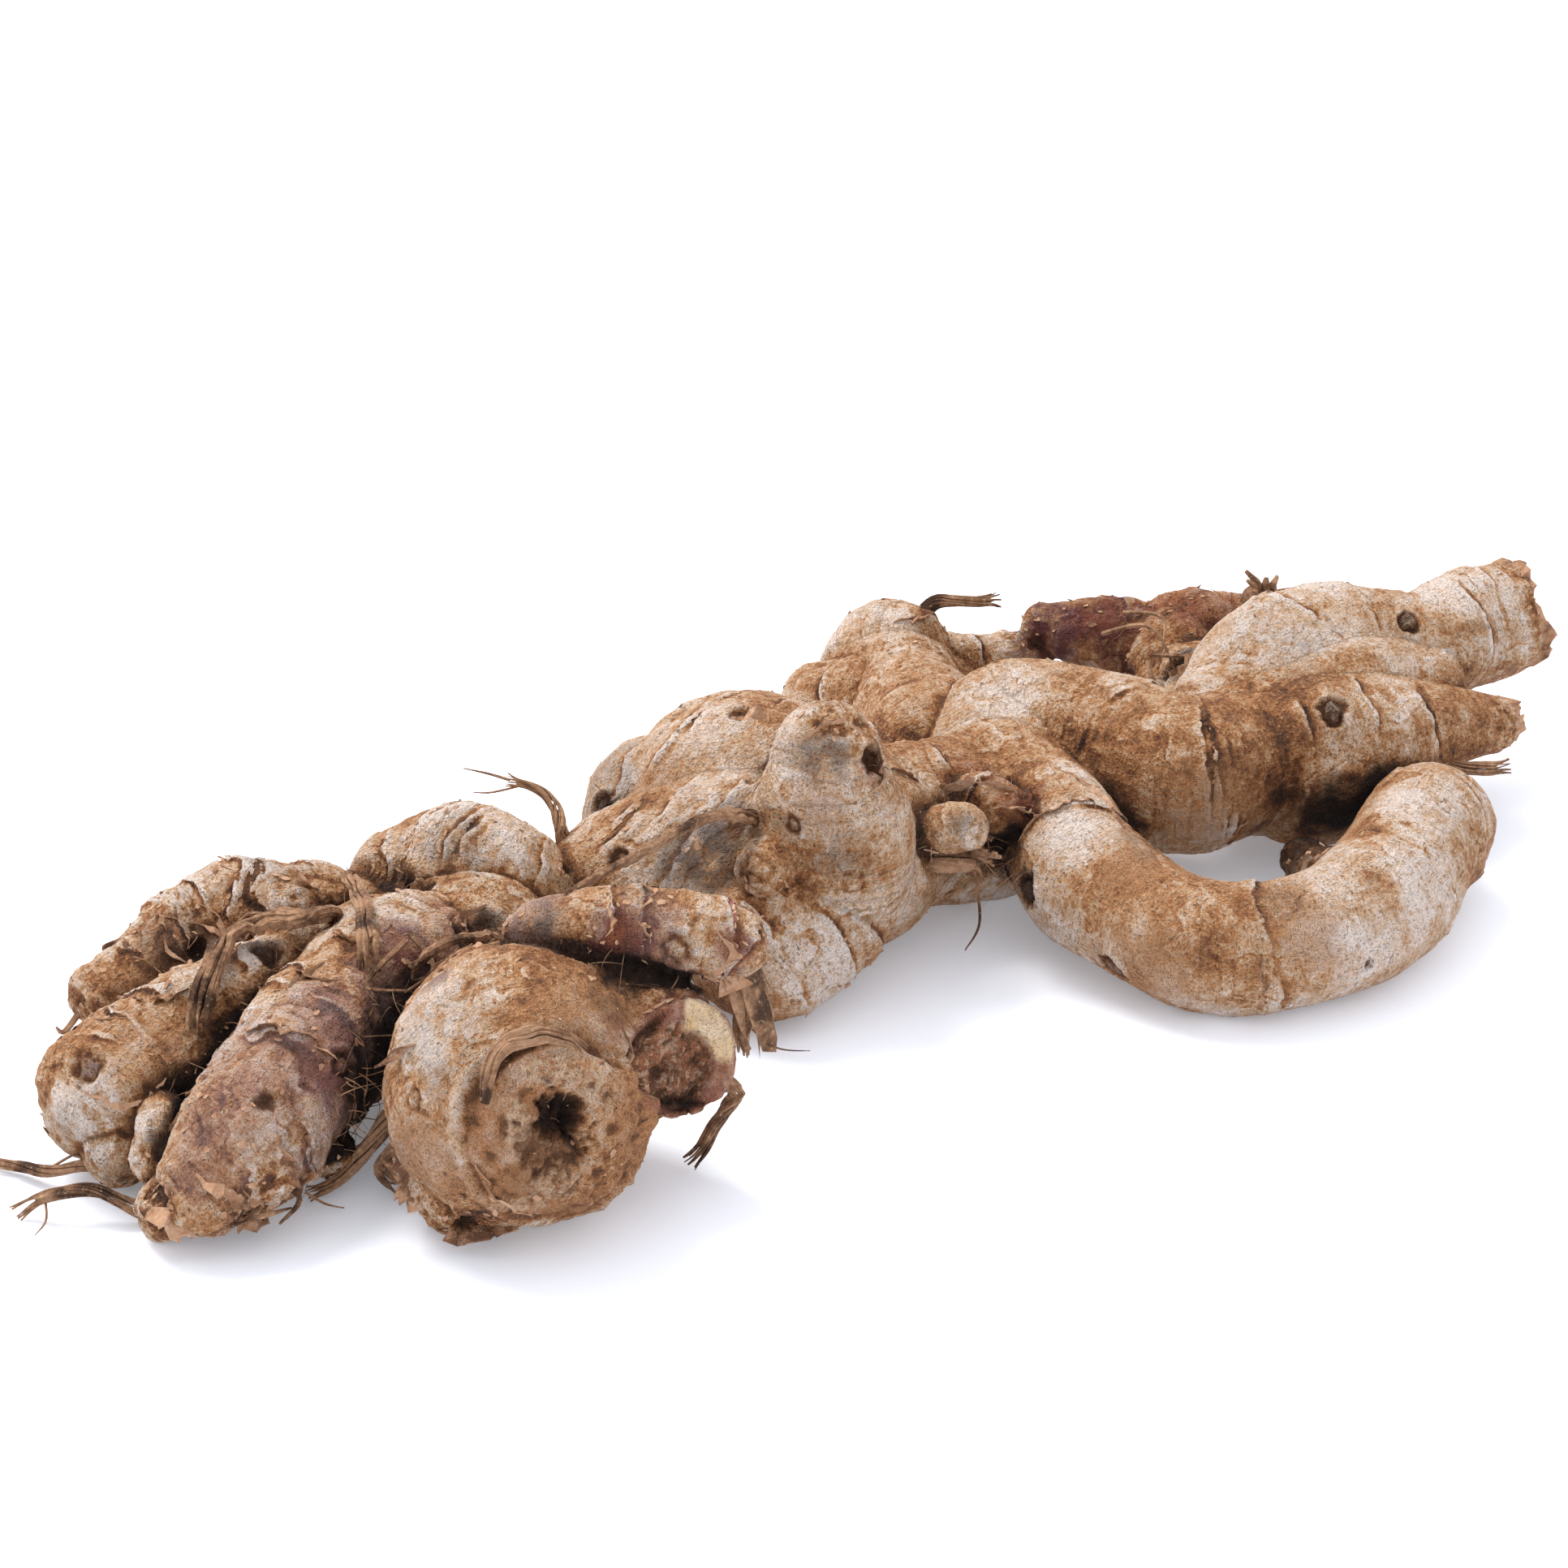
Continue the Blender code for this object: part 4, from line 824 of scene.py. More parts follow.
def buildRoots(tree):
    tubes = []
    for k, (name, stations) in enumerate(roots.items()):
        path = pathOf(stations, rootShape["step"])
        tubes += strandsOf(path, tree, k, name in flatRoots)
    return toObject(merged(tubes), "driedRoots")


hairShape = {"sides": 5, "scatter": 420, "length": (1.2, 4.5), "size": (0.04, 0.1)}
# Fine rootlets: start, a point that each bends past, end, and thickness.
rootlets = [
    [(-32.5, -39, 15), (-30.5, -42, 12.6), (-27.5, -44.2, 12.2), 0.14],
    [(-94, -24.5, 6.5), (-93, -28.0, 4.5), (-88.5, -30, 5.5), 0.4],
    [(-88.5, -30, 5.5), (-86, -31, 6), (-83, -29.5, 4.8), 0.35],
    [(-85, -27, 9), (-82.5, -30.5, 6.5), (-84.5, -29.5, 3.4), 0.45],
    [(-66, -27, 8), (-63.5, -32, 3.5), (-60.5, -35, 1.2), 0.2],
    [(-79, -25, 3), (-77.5, -26.5, 1.8), (-75.8, -27.5, 1.2), 0.18],
    [(10.5, -23.5, 14), (9, -26.5, 9), (5.8, -28, 7), 0.22],
    [(-99, -4.5, 2.4), (-96.5, -6, 4.2), (-93.5, -6.6, 4.5), 0.18],
    [(-31.5, 10, 24), (-33.5, 11.5, 24.8), (-36, 13, 25.6), 0.2],
    [(-30.5, 9, 23.5), (-33.5, 11, 22.6), (-35.5, 12, 22.8), 0.16],
    [(-84, 15.5, 9), (-87, 15, 6.5), (-88.6, 13.5, 8.2), 0.45],
    [(-102, -10.5, 2.8), (-103.2, -13, 2), (-105, -14, 1.4), 0.16],
    [(58, 3, 18.5), (56, -1, 15), (52.5, -2, 17), 0.4], [(60, 4, 18.5), (62, -2, 19.8), (65, -1, 18), 0.35],
    [(58, 12, 19), (60, 5, 22), (61, 1, 17), 0.35], [(63, 14, 20), (64.5, 8, 21), (60, 3, 18), 0.3],
    [(-60.5, -16, 23.4), (-66.5, -17.5, 20.6), (-62.5, -19.5, 19.5), 0.35],
    [(-59, -14, 23), (-58.8, -18.5, 20.6), (-63, -19.5, 19.4), 0.35],
]


def buildHairs(points, normals, free):
    # The listed rootlets, and short hairs out of the hollows.
    tubes = []
    for start, middle, end, size in rootlets:
        path = pathOf([(*start, size), (*middle, size * 0.8), (*end, size * 0.35)], 0.6)
        tubes.append(sweep([row[:4] for row in path], hairShape["sides"]))
    draw = random.Random(8)
    hollows = np.flatnonzero((free < 0.6) & (free > 0.2) & (points[:, 0] < 32) & (points[:, 2] > 3))
    for _ in range(hairShape["scatter"]):
        i = hollows[draw.randrange(len(hollows))]
        long = draw.uniform(*hairShape["length"])
        size = draw.uniform(*hairShape["size"])
        at = Vector(points[i])
        way = Vector((draw.uniform(-1, 1), draw.uniform(-1, 1), draw.uniform(-0.6, 0.6)))
        way = Vector(normals[i]) * 0.6 + way
        bend = Vector((draw.uniform(-1, 1), draw.uniform(-1, 1), draw.uniform(-1, 0.2)))
        rows = []
        for j in range(7):
            t = j / 6
            spot = at + way.normalized() * long * (t - 0.06) + bend * long * 0.5 * t * t
            spot.z = max(spot.z, origin.z + size)
            rows.append((*spot, size * (1.05 - 0.7 * t)))
        tubes.append(sweep(rows, 3))
    return toObject(merged(tubes), "rootHairs")


# Bark that has lifted: the line where each flap is joined, the way its free edge points, its width and lift.
flapShape = {"step": 0.6, "rows": 4, "thick": 0.16, "ragged": 0.35, "sunk": 0.3}
flaps = {
    "purpleLedge": ([(-80.1, -15.4, 19.2), (-78, -19.7, 20.1), (-75.1, -22.4, 19.3)], (-0.9, -0.4, -0.3),
        1.3, 0.7),
    "purpleUpper": ([(-73.8, -14.7, 21.1), (-70.9, -13.4, 21.7), (-68.8, -13.2, 22.6)], (-0.9, -0.5, 0),
        1.2, 0.6),
    "purpleSide": ([(-84.2, -28.5, 13.8), (-84, -29.5, 10.8), (-83, -28, 5.4)], (0.7, -0.5, -0.2), 1.2,
        0.8),
    "purpleLow": ([(-92.7, -27.3, 11.5), (-89.3, -29.6, 9.7), (-87, -29, 7)], (-0.5, -0.4, -0.8), 1.6, 0.9),
    "purpleFoot": ([(-89, -28, 5), (-86, -28.5, 4), (-83.5, -27, 3.5)], (-0.1, -0.4, -0.9), 2.2, 1.0),
    "purpleTip": ([(-98, -21, 8), (-97, -25, 6.5), (-93, -27.5, 5.5)], (-0.5, -0.4, -0.6), 1.4, 0.8),
    "leftFold": ([(-84.4, -2.5, 17.6), (-82.7, -3.7, 18.6), (-80.5, -4.3, 18)], (-0.8, -0.4, 0.2), 1.6,
        1.0),
    "leftSide": ([(-96, -9, 13.5), (-91.5, -11.5, 12.5), (-87.5, -11, 13.5)], (-0.2, -0.6, -0.8), 0.9, 0.5),
    "backLeftFold": ([(-58.5, 11.3, 20.8), (-58, 9.7, 20.1), (-57.8, 7.9, 19)], (-0.9, -0.2, 0.3), 1.8,
        1.2),
    "backLeftSide": ([(-72, 12, 17.5), (-68, 10, 16), (-64, 8, 16)], (-0.2, -0.7, -0.6), 1.2, 0.6),
    "shoulderSpike": ([(-72.9, -33.4, 21.5), (-72.3, -34.4, 23.3), (-71.5, -35.2, 23.8)], (-0.8, 0.3, 0.1),
        3.2, 1.2),
    "shoulderLow": ([(-73.8, -35, 13), (-74, -36.5, 9), (-72.5, -38, 5.5)], (-0.8, 0.2, -0.4), 1.8, 1.0),
    "bulbFoot": ([(-71.5, -41, 3.5), (-68.5, -43.5, 2.8), (-65, -45, 3)], (-0.3, -0.5, -0.6), 1.5, 0.7),
    "vLine": ([(-71.9, -47.3, 14.5), (-70.9, -47.7, 12), (-68.2, -47.5, 8.9), (-64.9, -47.6, 6.4)],
        (0.7, -0.3, 0.3), 0.9, 0.5),
    "loopCollar": ([(19.3, -21.4, 13.8), (21, -22, 17.2), (23.2, -22.9, 19), (25.4, -23.9, 19.1),
        (26.8, -26.1, 17.9)], (0.1, -0.9, -0.2), 1.5, 0.5),
    "loopCrack": ([(26.5, -17.9, 20.1), (27.3, -21.6, 19.5), (27.7, -25.7, 17.6), (26.5, -31, 17)],
        (0.8, 0, 0.2), 0.9, 0.4),
    "humpFlap": ([(-8.9, -1.7, 30.2), (-7.4, -3.7, 30.6), (-6.1, -5.3, 30.2)], (0.8, 0.5, 0), 2.2, 0.8),
    "tornTop": ([(35.5, -50, 16), (33.4, -52.4, 14.5), (30.9, -52.7, 14.6)], (0.9, -0.3, 0), 0.9, 0.3),
    "tornLow": ([(27.5, -53.2, 11.5), (27.3, -54, 8.3), (28.5, -53.5, 3.7)], (0.9, -0.3, 0), 0.9, 0.3),
    "crownLeft": ([(-10.6, -18.2, 33.6), (-8.3, -18.9, 34.8), (-5.5, -19.6, 35.2), (-2.8, -20.8, 34)],
        (0.1, 0.2, 1), 0.9, 0.4),
    "crownHole": ([(-2.0, -20.5, 33), (-1.6, -22.3, 31.6), (-3.0, -23.8, 29), (-5.8, -24.5, 28.7)],
        (-0.5, -0.3, 0.6), 1.1, 0.6),
    "farRimTop": ([(101, -8, 25), (102.7, -14, 26.4), (103.2, -19, 24)], (0.9, -0.2, 0.3), 1.6, 0.6),
    "farRimSide": ([(103.2, -19, 24), (102.7, -21.5, 20), (101.5, -20.5, 15)], (0.9, -0.4, 0), 1.6, 0.7),
    "tipRim": ([(90, -26.5, 17), (91, -30.5, 15), (90, -31, 11.5)], (0.8, -0.4, 0.2), 1.4, 0.6),
    "stubCollar": ([(-52.3, -44.2, 22.9), (-52.0, -46.1, 19.7), (-50.9, -47.2, 15.6)], (-0.5, -0.9, -0.1),
        1.3, 0.8),
    "stubTop": ([(-48.5, -43.5, 23.5), (-45, -43, 24), (-41.5, -42.5, 22.5)], (-0.2, -0.8, 0.3), 0.8, 0.3),
    "budSkirt": ([(-41, -43.5, 25), (-38.5, -44.5, 24), (-36, -44, 23.5)], (0.3, -0.6, -0.7), 1.8, 0.6),
    "knobOne": ([(-51, -11.5, 21.5), (-49.5, -13, 21.5), (-47.8, -12, 21.5)], (-0.1, -0.7, 0.7), 1.8, 0.9),
    "knobTwo": ([(-50.5, -9.5, 22), (-49, -10.5, 22.5), (-47.5, -9.5, 22.5)], (0.2, -0.5, 0.8), 1.6, 0.9),
    "redBudOne": ([(16, -15, 20.5), (18, -17, 20.5), (20, -18.5, 19.5)], (0.6, -0.7, 0.2), 1.6, 0.5),
    "redBudTwo": ([(17, -18, 18), (19, -20, 18.5), (21.5, -20.5, 18)], (0.7, -0.6, 0), 1.6, 0.5),
    "redBudBase": ([(12, -13, 20), (14, -14.5, 20.5), (16, -15, 20.5)], (0.3, -0.6, 0.6), 1.8, 0.8),
    "saddleOne": ([(3, -13, 23.5), (6, -13, 23.2), (9, -14, 22)], (0.1, -0.7, 0.5), 1.3, 0.6),
    "hollowRim": ([(56, 1, 19.5), (59, -2.5, 19.5), (63, -2.5, 19.5), (66, 0, 19.5)], (0, 0.5, 0.8), 1.2,
        0.6),
    "backTopRim": ([(36, 28, 20.5), (39.5, 27, 21), (43, 28.5, 20)], (0.1, -0.5, 0.8), 1.4, 0.6),
    "heelEdge": ([(50, -41, 5), (52, -41.5, 8), (54, -40, 10)], (-0.8, 0.5, 0), 1.2, 0.5),
}


# The papery sheath that hangs from under the bud finger's tip, as strips.
sheathStrips = {
    "one": ([(-38.2, -43.8, 24.6), (-36.4, -44, 24.4)], (0.12, -0.1, -1), 6.5, 0.5),
    "two": ([(-36.8, -43.8, 25.2), (-34.6, -43.4, 25)], (0.25, -0.15, -1), 9.5, 0.8),
    "three": ([(-35, -43.2, 25), (-33, -41.8, 24.8)], (0.1, -0.3, -1), 7.5, 0.9),
    "four": ([(-34.6, -42.2, 24), (-32.6, -40.6, 24)], (0.0, -0.15, -1), 10.5, 0.6),
    "five": ([(-33.4, -41, 25), (-31.8, -39.4, 25)], (0.3, -0.2, -1), 6, 1.0),
}


def sheet(bm, base, ups, ways, reaches, lifts):
    # A thin closed flap: joined along the base, each point's reach and lift giving its free edge.
    rows = flapShape["rows"]
    made = bmesh.ops.create_grid(bm, x_segments=len(base) - 1, y_segments=rows, size=1)["verts"]
    for index, vert in enumerate(made):
        j, i = divmod(index, len(base))
        t = j / rows
        up = lifts[i] * t**1.6 - flapShape["sunk"] * (1 - t)
        vert.co = base[i] + ways[i] * reaches[i] * t + ups[i] * up
    faces = list({face for vert in made for face in vert.link_faces})
    bmesh.ops.solidify(bm, geom=faces, thickness=flapShape["thick"])


def buildFlaps(tree, strips, name):
    bm = bmesh.new()
    for k, (line, reach, width, lift) in enumerate(strips.values()):
        draw = random.Random(300 + k)
        path = pathOf([(*point, 0) for point in line], flapShape["step"])
        base, ups, ways, reaches, lifts = [], [], [], [], []
        for i, row in enumerate(path):
            spot, up = tree.find_nearest(Vector(row[:3]))[:2]
            way = Vector(reach)
            if width < 5:
                way = way - up * way.dot(up)
            thin = math.sin(math.pi * (i + 0.35) / (len(path) - 0.3)) ** 0.6
            torn = flapShape["ragged"] * (draw.uniform(-1, 1) + 0.7 * math.sin(1.3 * i + k))
            torn = 1 + torn / max(1, width / 3)
            base.append(spot)
            ups.append(up)
            ways.append(way.normalized())
            reaches.append(width * thin * max(0.25, torn))
            lifts.append(lift * thin * draw.uniform(0.6, 1.4))
        sheet(bm, base, ups, ways, reaches, lifts)
    bmesh.ops.recalc_face_normals(bm, faces=bm.faces)
    keepUp(bm)
    return toObject(bm, name)


# The closed scales round the tip of the bud finger: place along it from its tip, radius and number of scales.
budShape = {"tip": (-32.8, -43.7, 26.0), "way": (0.80, -0.565, -0.195), "reach": 2.3, "lift": 0.35,
            "rows": [(-6.2, 4.5, 5), (-4.8, 4.1, 5), (-3.4, 3.3, 4), (-2.2, 2.2, 3)]}


def buildBudScales():
    shape = budShape
    bm = bmesh.new()
    way = Vector(shape["way"])
    side = way.cross(Vector((0, 0, 1))).normalized()
    top = side.cross(way)
    draw = random.Random(5)
    for k, (place, radius, count) in enumerate(shape["rows"]):
        for j in range(count):
            middle = 2 * math.pi * (j + 0.5 * (k % 2)) / count
            wide = 1.15 * math.pi / count
            base, ups, ways, reaches, lifts = [], [], [], [], []
            for i in range(11):
                turn = middle + wide * (i / 5 - 1)
                out = side * math.cos(turn) + top * math.sin(turn)
                thin = math.cos((i / 5 - 1) * 1.3) ** 0.7
                base.append(Vector(shape["tip"]) + way * place + out * radius)
                ups.append(out)
                ways.append((way - out * 0.33 * (k + 0.6)).normalized())
                reaches.append(shape["reach"] * thin * draw.uniform(0.8, 1.1))
                lifts.append(shape["lift"] * draw.uniform(0.4, 1.5))
            sheet(bm, base, ups, ways, reaches, lifts)
    bmesh.ops.recalc_face_normals(bm, faces=bm.faces)
    return toObject(bm, "budScales")


edgeShape = {"turns": 70, "reach": 1.1, "lift": 0.45}


def buildScaleEdges(tree):
    # The torn edges of old leaf scales: ragged papery strips along the rings.
    bm = bmesh.new()
    shape = edgeShape
    count = 0
    for k, part in enumerate(fingers.values()):
        papery = part["papery"]
        if papery <= 0:
            continue
        path = pathOf(part["stations"], skinShape["step"])
        for j, ring in enumerate(part["rings"]):
            i = int(np.clip(round(ring / skinShape["step"]), 1, len(path) - 2))
            centre = Vector(path[i][:3])
            along = (Vector(path[i + 1][:3]) - Vector(path[i - 1][:3])).normalized()
            side = along.cross(Vector(sideways)).normalized()
            up = side.cross(along)
            draw = random.Random(50 * k + j)
            phases = [draw.uniform(0, 6.28) for _ in range(4)]
            run = []
            for n in range(shape["turns"] + 1):
                turn = 2 * math.pi * n / shape["turns"]
                place = 0.7 * math.sin(5 * turn + phases[0]) - ringWave(math.sin, turn, k, j)
                way = (side * math.sin(turn) + up * math.cos(turn)).normalized()
                out, normal, _, far = tree.ray_cast(centre + along * place, way)
                tall = 0.5 + 0.5 * math.sin(2 * turn + phases[1]) + 0.35 * math.sin(7 * turn + phases[2])
                tall = (tall - 1.1 + 1.1 * papery) * draw.uniform(0.6, 1.3)
                there = out is not None and far < path[i][3] * 1.3 and tall > 0.12 and out.z > origin.z + 1.5
                if there:
                    run.append((out, way, min(tall, 1.2) * draw.uniform(0.7, 1.1)))
                if run and (not there or n == shape["turns"]):
                    if len(run) > 3:
                        ends = [min(1.0, (min(m, len(run) - 1 - m) + 0.4) / 2.5) for m in range(len(run))]
                        sheet(bm, [r[0] for r in run], [r[1] for r in run], [along] * len(run),
                              [shape["reach"] * r[2] * e for r, e in zip(run, ends)],
                              [shape["lift"] * r[2] * e for r, e in zip(run, ends)])
                        count += 1
                    run = []
    bmesh.ops.recalc_face_normals(bm, faces=bm.faces)
    print("scale edges:", count)
    return toObject(bm, "scaleEdges")


flakeShape = {"count": 1700, "size": (0.3, 1.2), "thick": 0.08, "lift": 0.1, "tilt": 0.4}


def buildFlakes(points, normals, weight):
    # Loose bits of dry skin lying on the rough places.
    shape = flakeShape
    draw = random.Random(21)
    share = np.cumsum(weight) / weight.sum()
    whole = bmesh.new()
    for _ in range(shape["count"]):
        i = min(int(np.searchsorted(share, draw.random())), len(points) - 1)
        size = draw.uniform(*shape["size"]) ** 1.2
        up = Vector(normals[i]) + Vector([draw.uniform(-1, 1) * shape["tilt"] for _ in range(3)])
        turn = up.to_track_quat("Z", "Y").to_matrix().to_4x4()
        sides = draw.choice((5, 6, 7))
        made = bmesh.ops.create_circle(whole, segments=sides, radius=size / 2, cap_ends=True)["verts"]
        for vert in made:
            vert.co *= draw.uniform(0.6, 1.3)
        faces = list({f for v in made for f in v.link_faces})
        grown = bmesh.ops.extrude_face_region(whole, geom=faces)["geom"]
        top = [g for g in grown if isinstance(g, bmesh.types.BMVert)]
        bmesh.ops.translate(whole, verts=top, vec=(0, 0, shape["thick"]))
        spin = Matrix.Rotation(draw.uniform(0, 6.28), 4, "Z")
        squash = Matrix.Diagonal((1, draw.uniform(0.3, 0.9), 1, 1))
        lift = shape["lift"] * draw.uniform(-0.5, 1)
        at = Matrix.Translation(Vector(points[i]) + Vector(normals[i]) * lift)
        bmesh.ops.transform(whole, matrix=at @ turn @ spin @ squash, verts=made + top)
    bmesh.ops.recalc_face_normals(whole, faces=whole.faces)
    keepUp(whole)
    return toObject(whole, "skinFlakes")


# Materials

class Wire:
    # A socket that can be added, subtracted and multiplied.
    def __init__(self, paint, socket):
        self.paint = paint
        self.socket = socket

    def sum(self, operation, *values):
        return self.paint.node("ShaderNodeMath", {"operation": operation}, dict(enumerate(values)))

    def __add__(self, other):
        return self.sum("ADD", self, other)

    def __sub__(self, other):
        return self.sum("SUBTRACT", self, other)

    def __rsub__(self, other):
        return self.sum("SUBTRACT", other, self)

    def __mul__(self, other):
        return self.sum("MULTIPLY", self, other)

    __radd__ = __add__
    __rmul__ = __mul__


class Paint:
    # One material and the nodes it is made of.
    def __init__(self, name, **finish):
        self.material = bpy.data.materials.new(name)
        self.material.use_nodes = True
        self.tree = self.material.node_tree
        self.shader = self.tree.nodes["Principled BSDF"]
        for socket, value in finish.items():
            self.shader.inputs[socket.replace("_", " ")].default_value = value

    def node(self, kind, settings, values, output=0):
        # A node of any type: its settings are set first, then the values or links of its sockets.
        made = self.tree.nodes.new(kind)
        for name, value in settings.items():
            if name == "stops":
                elements = made.color_ramp.elements
                for spot, colour in value[2:]:
                    elements.new(spot)
                for element, (spot, colour) in zip(elements, value):
                    element.position = spot
                    element.color = (*colour, 1)
            else:
                setattr(made, name, value)
        for name, value in values.items():
            if isinstance(value, Wire):
                self.tree.links.new(value.socket, made.inputs[name])
            else:
                made.inputs[name].default_value = value
        return Wire(self, made.outputs[output])

    def place(self):
        return self.node("ShaderNodeTexCoord", {}, {}, "Object")

    def field(self, name, output="Fac"):
        return self.node("ShaderNodeAttribute", {"attribute_name": name}, {}, output)

    def noise(self, at, size, detail=3, rough=0.55, warp=0.0):
        # Noise between 0 and 1 with features about one size (in metres) wide.
        values = {"Vector": at, "Scale": 1 / size, "Detail": detail, "Roughness": rough, "Distortion": warp}
        return self.node("ShaderNodeTexNoise", {}, values, "Fac")

    def ramp(self, value, low, high, bottom=0.0, top=1.0):
        return self.node("ShaderNodeMapRange", {"interpolation_type": "SMOOTHSTEP"},
                         {"Value": value, "From Min": low, "From Max": high, "To Min": bottom, "To Max": top})

    def mix(self, share, first, second):
        first, second = (value if isinstance(value, Wire) else (*value, 1) for value in (first, second))
        settings = {"data_type": "RGBA", "clamp_factor": True}
        return self.node("ShaderNodeMix", settings, {0: share, 6: first, 7: second}, 2)

    def tones(self, value, stops):
        # A ramp of colours, each with its place from 0 to 1.
        return self.node("ShaderNodeValToRGB", {"stops": stops}, {"Fac": value}, "Color")

    def stretch(self, vector, by):
        return self.node("ShaderNodeVectorMath", {"operation": "MULTIPLY"}, {0: vector, 1: by})

    def join(self, value, socket):
        self.tree.links.new(value.socket, self.shader.inputs[socket])

    def bump(self, height, depth, strength, **more):
        values = {"Height": height, "Distance": depth, "Strength": strength, **more}
        return self.node("ShaderNodeBump", {}, values)


# Noises of the skin: size in metres, detail, roughness and warp.
skinNoises = ((0.016, 4, 0.5, 0.5), (0.0026, 5, 0.58), (0.0007, 4, 0.65), (0.00035, 2, 0.6))
# Noises that follow the growth: stretch round, out and along, then detail and roughness.
skinFibres = (((0.14, 0.14, 1.3), 5, 0.7), ((2.4, 2.4, 0.35), 3, 0.6), ((0.9, 0.9, 4.5), 2, 0.6))
# Tones from dark to light, each with its place on the ramp.
skinTones = (
    (0.08, (0.030, 0.012, 0.007)), (0.25, (0.115, 0.041, 0.014)), (0.40, (0.26, 0.100, 0.034)),
    (0.54, (0.42, 0.200, 0.082)), (0.67, (0.545, 0.350, 0.214)), (0.79, (0.64, 0.478, 0.37)),
    (0.92, (0.72, 0.605, 0.535)),
)
# dark colours the painted shade in clefts and under parts and a few dark scar hollows; bark also colours the
# painted shade in the smallest hollows.
skinColours = {
    "bark": (0.13, 0.058, 0.028), "dark": (0.022, 0.011, 0.007), "straw": (0.60, 0.44, 0.30),
    "dash": (0.20, 0.09, 0.045), "lilac": (0.33, 0.205, 0.19), "maroon": (0.10, 0.020, 0.026),
    "grey": (0.095, 0.064, 0.050), "tan": (0.38, 0.185, 0.085), "red": (0.25, 0.085, 0.055),
    "eye": (0.060, 0.024, 0.012), "chalk": (0.66, 0.47, 0.32), "flesh": (0.72, 0.47, 0.23),
    "fleshPale": (0.80, 0.61, 0.42), "torn": (0.36, 0.145, 0.07), "rust": (0.27, 0.085, 0.040),
    "tornLight": (0.63, 0.41, 0.28), "amber": (0.40, 0.18, 0.075),
}


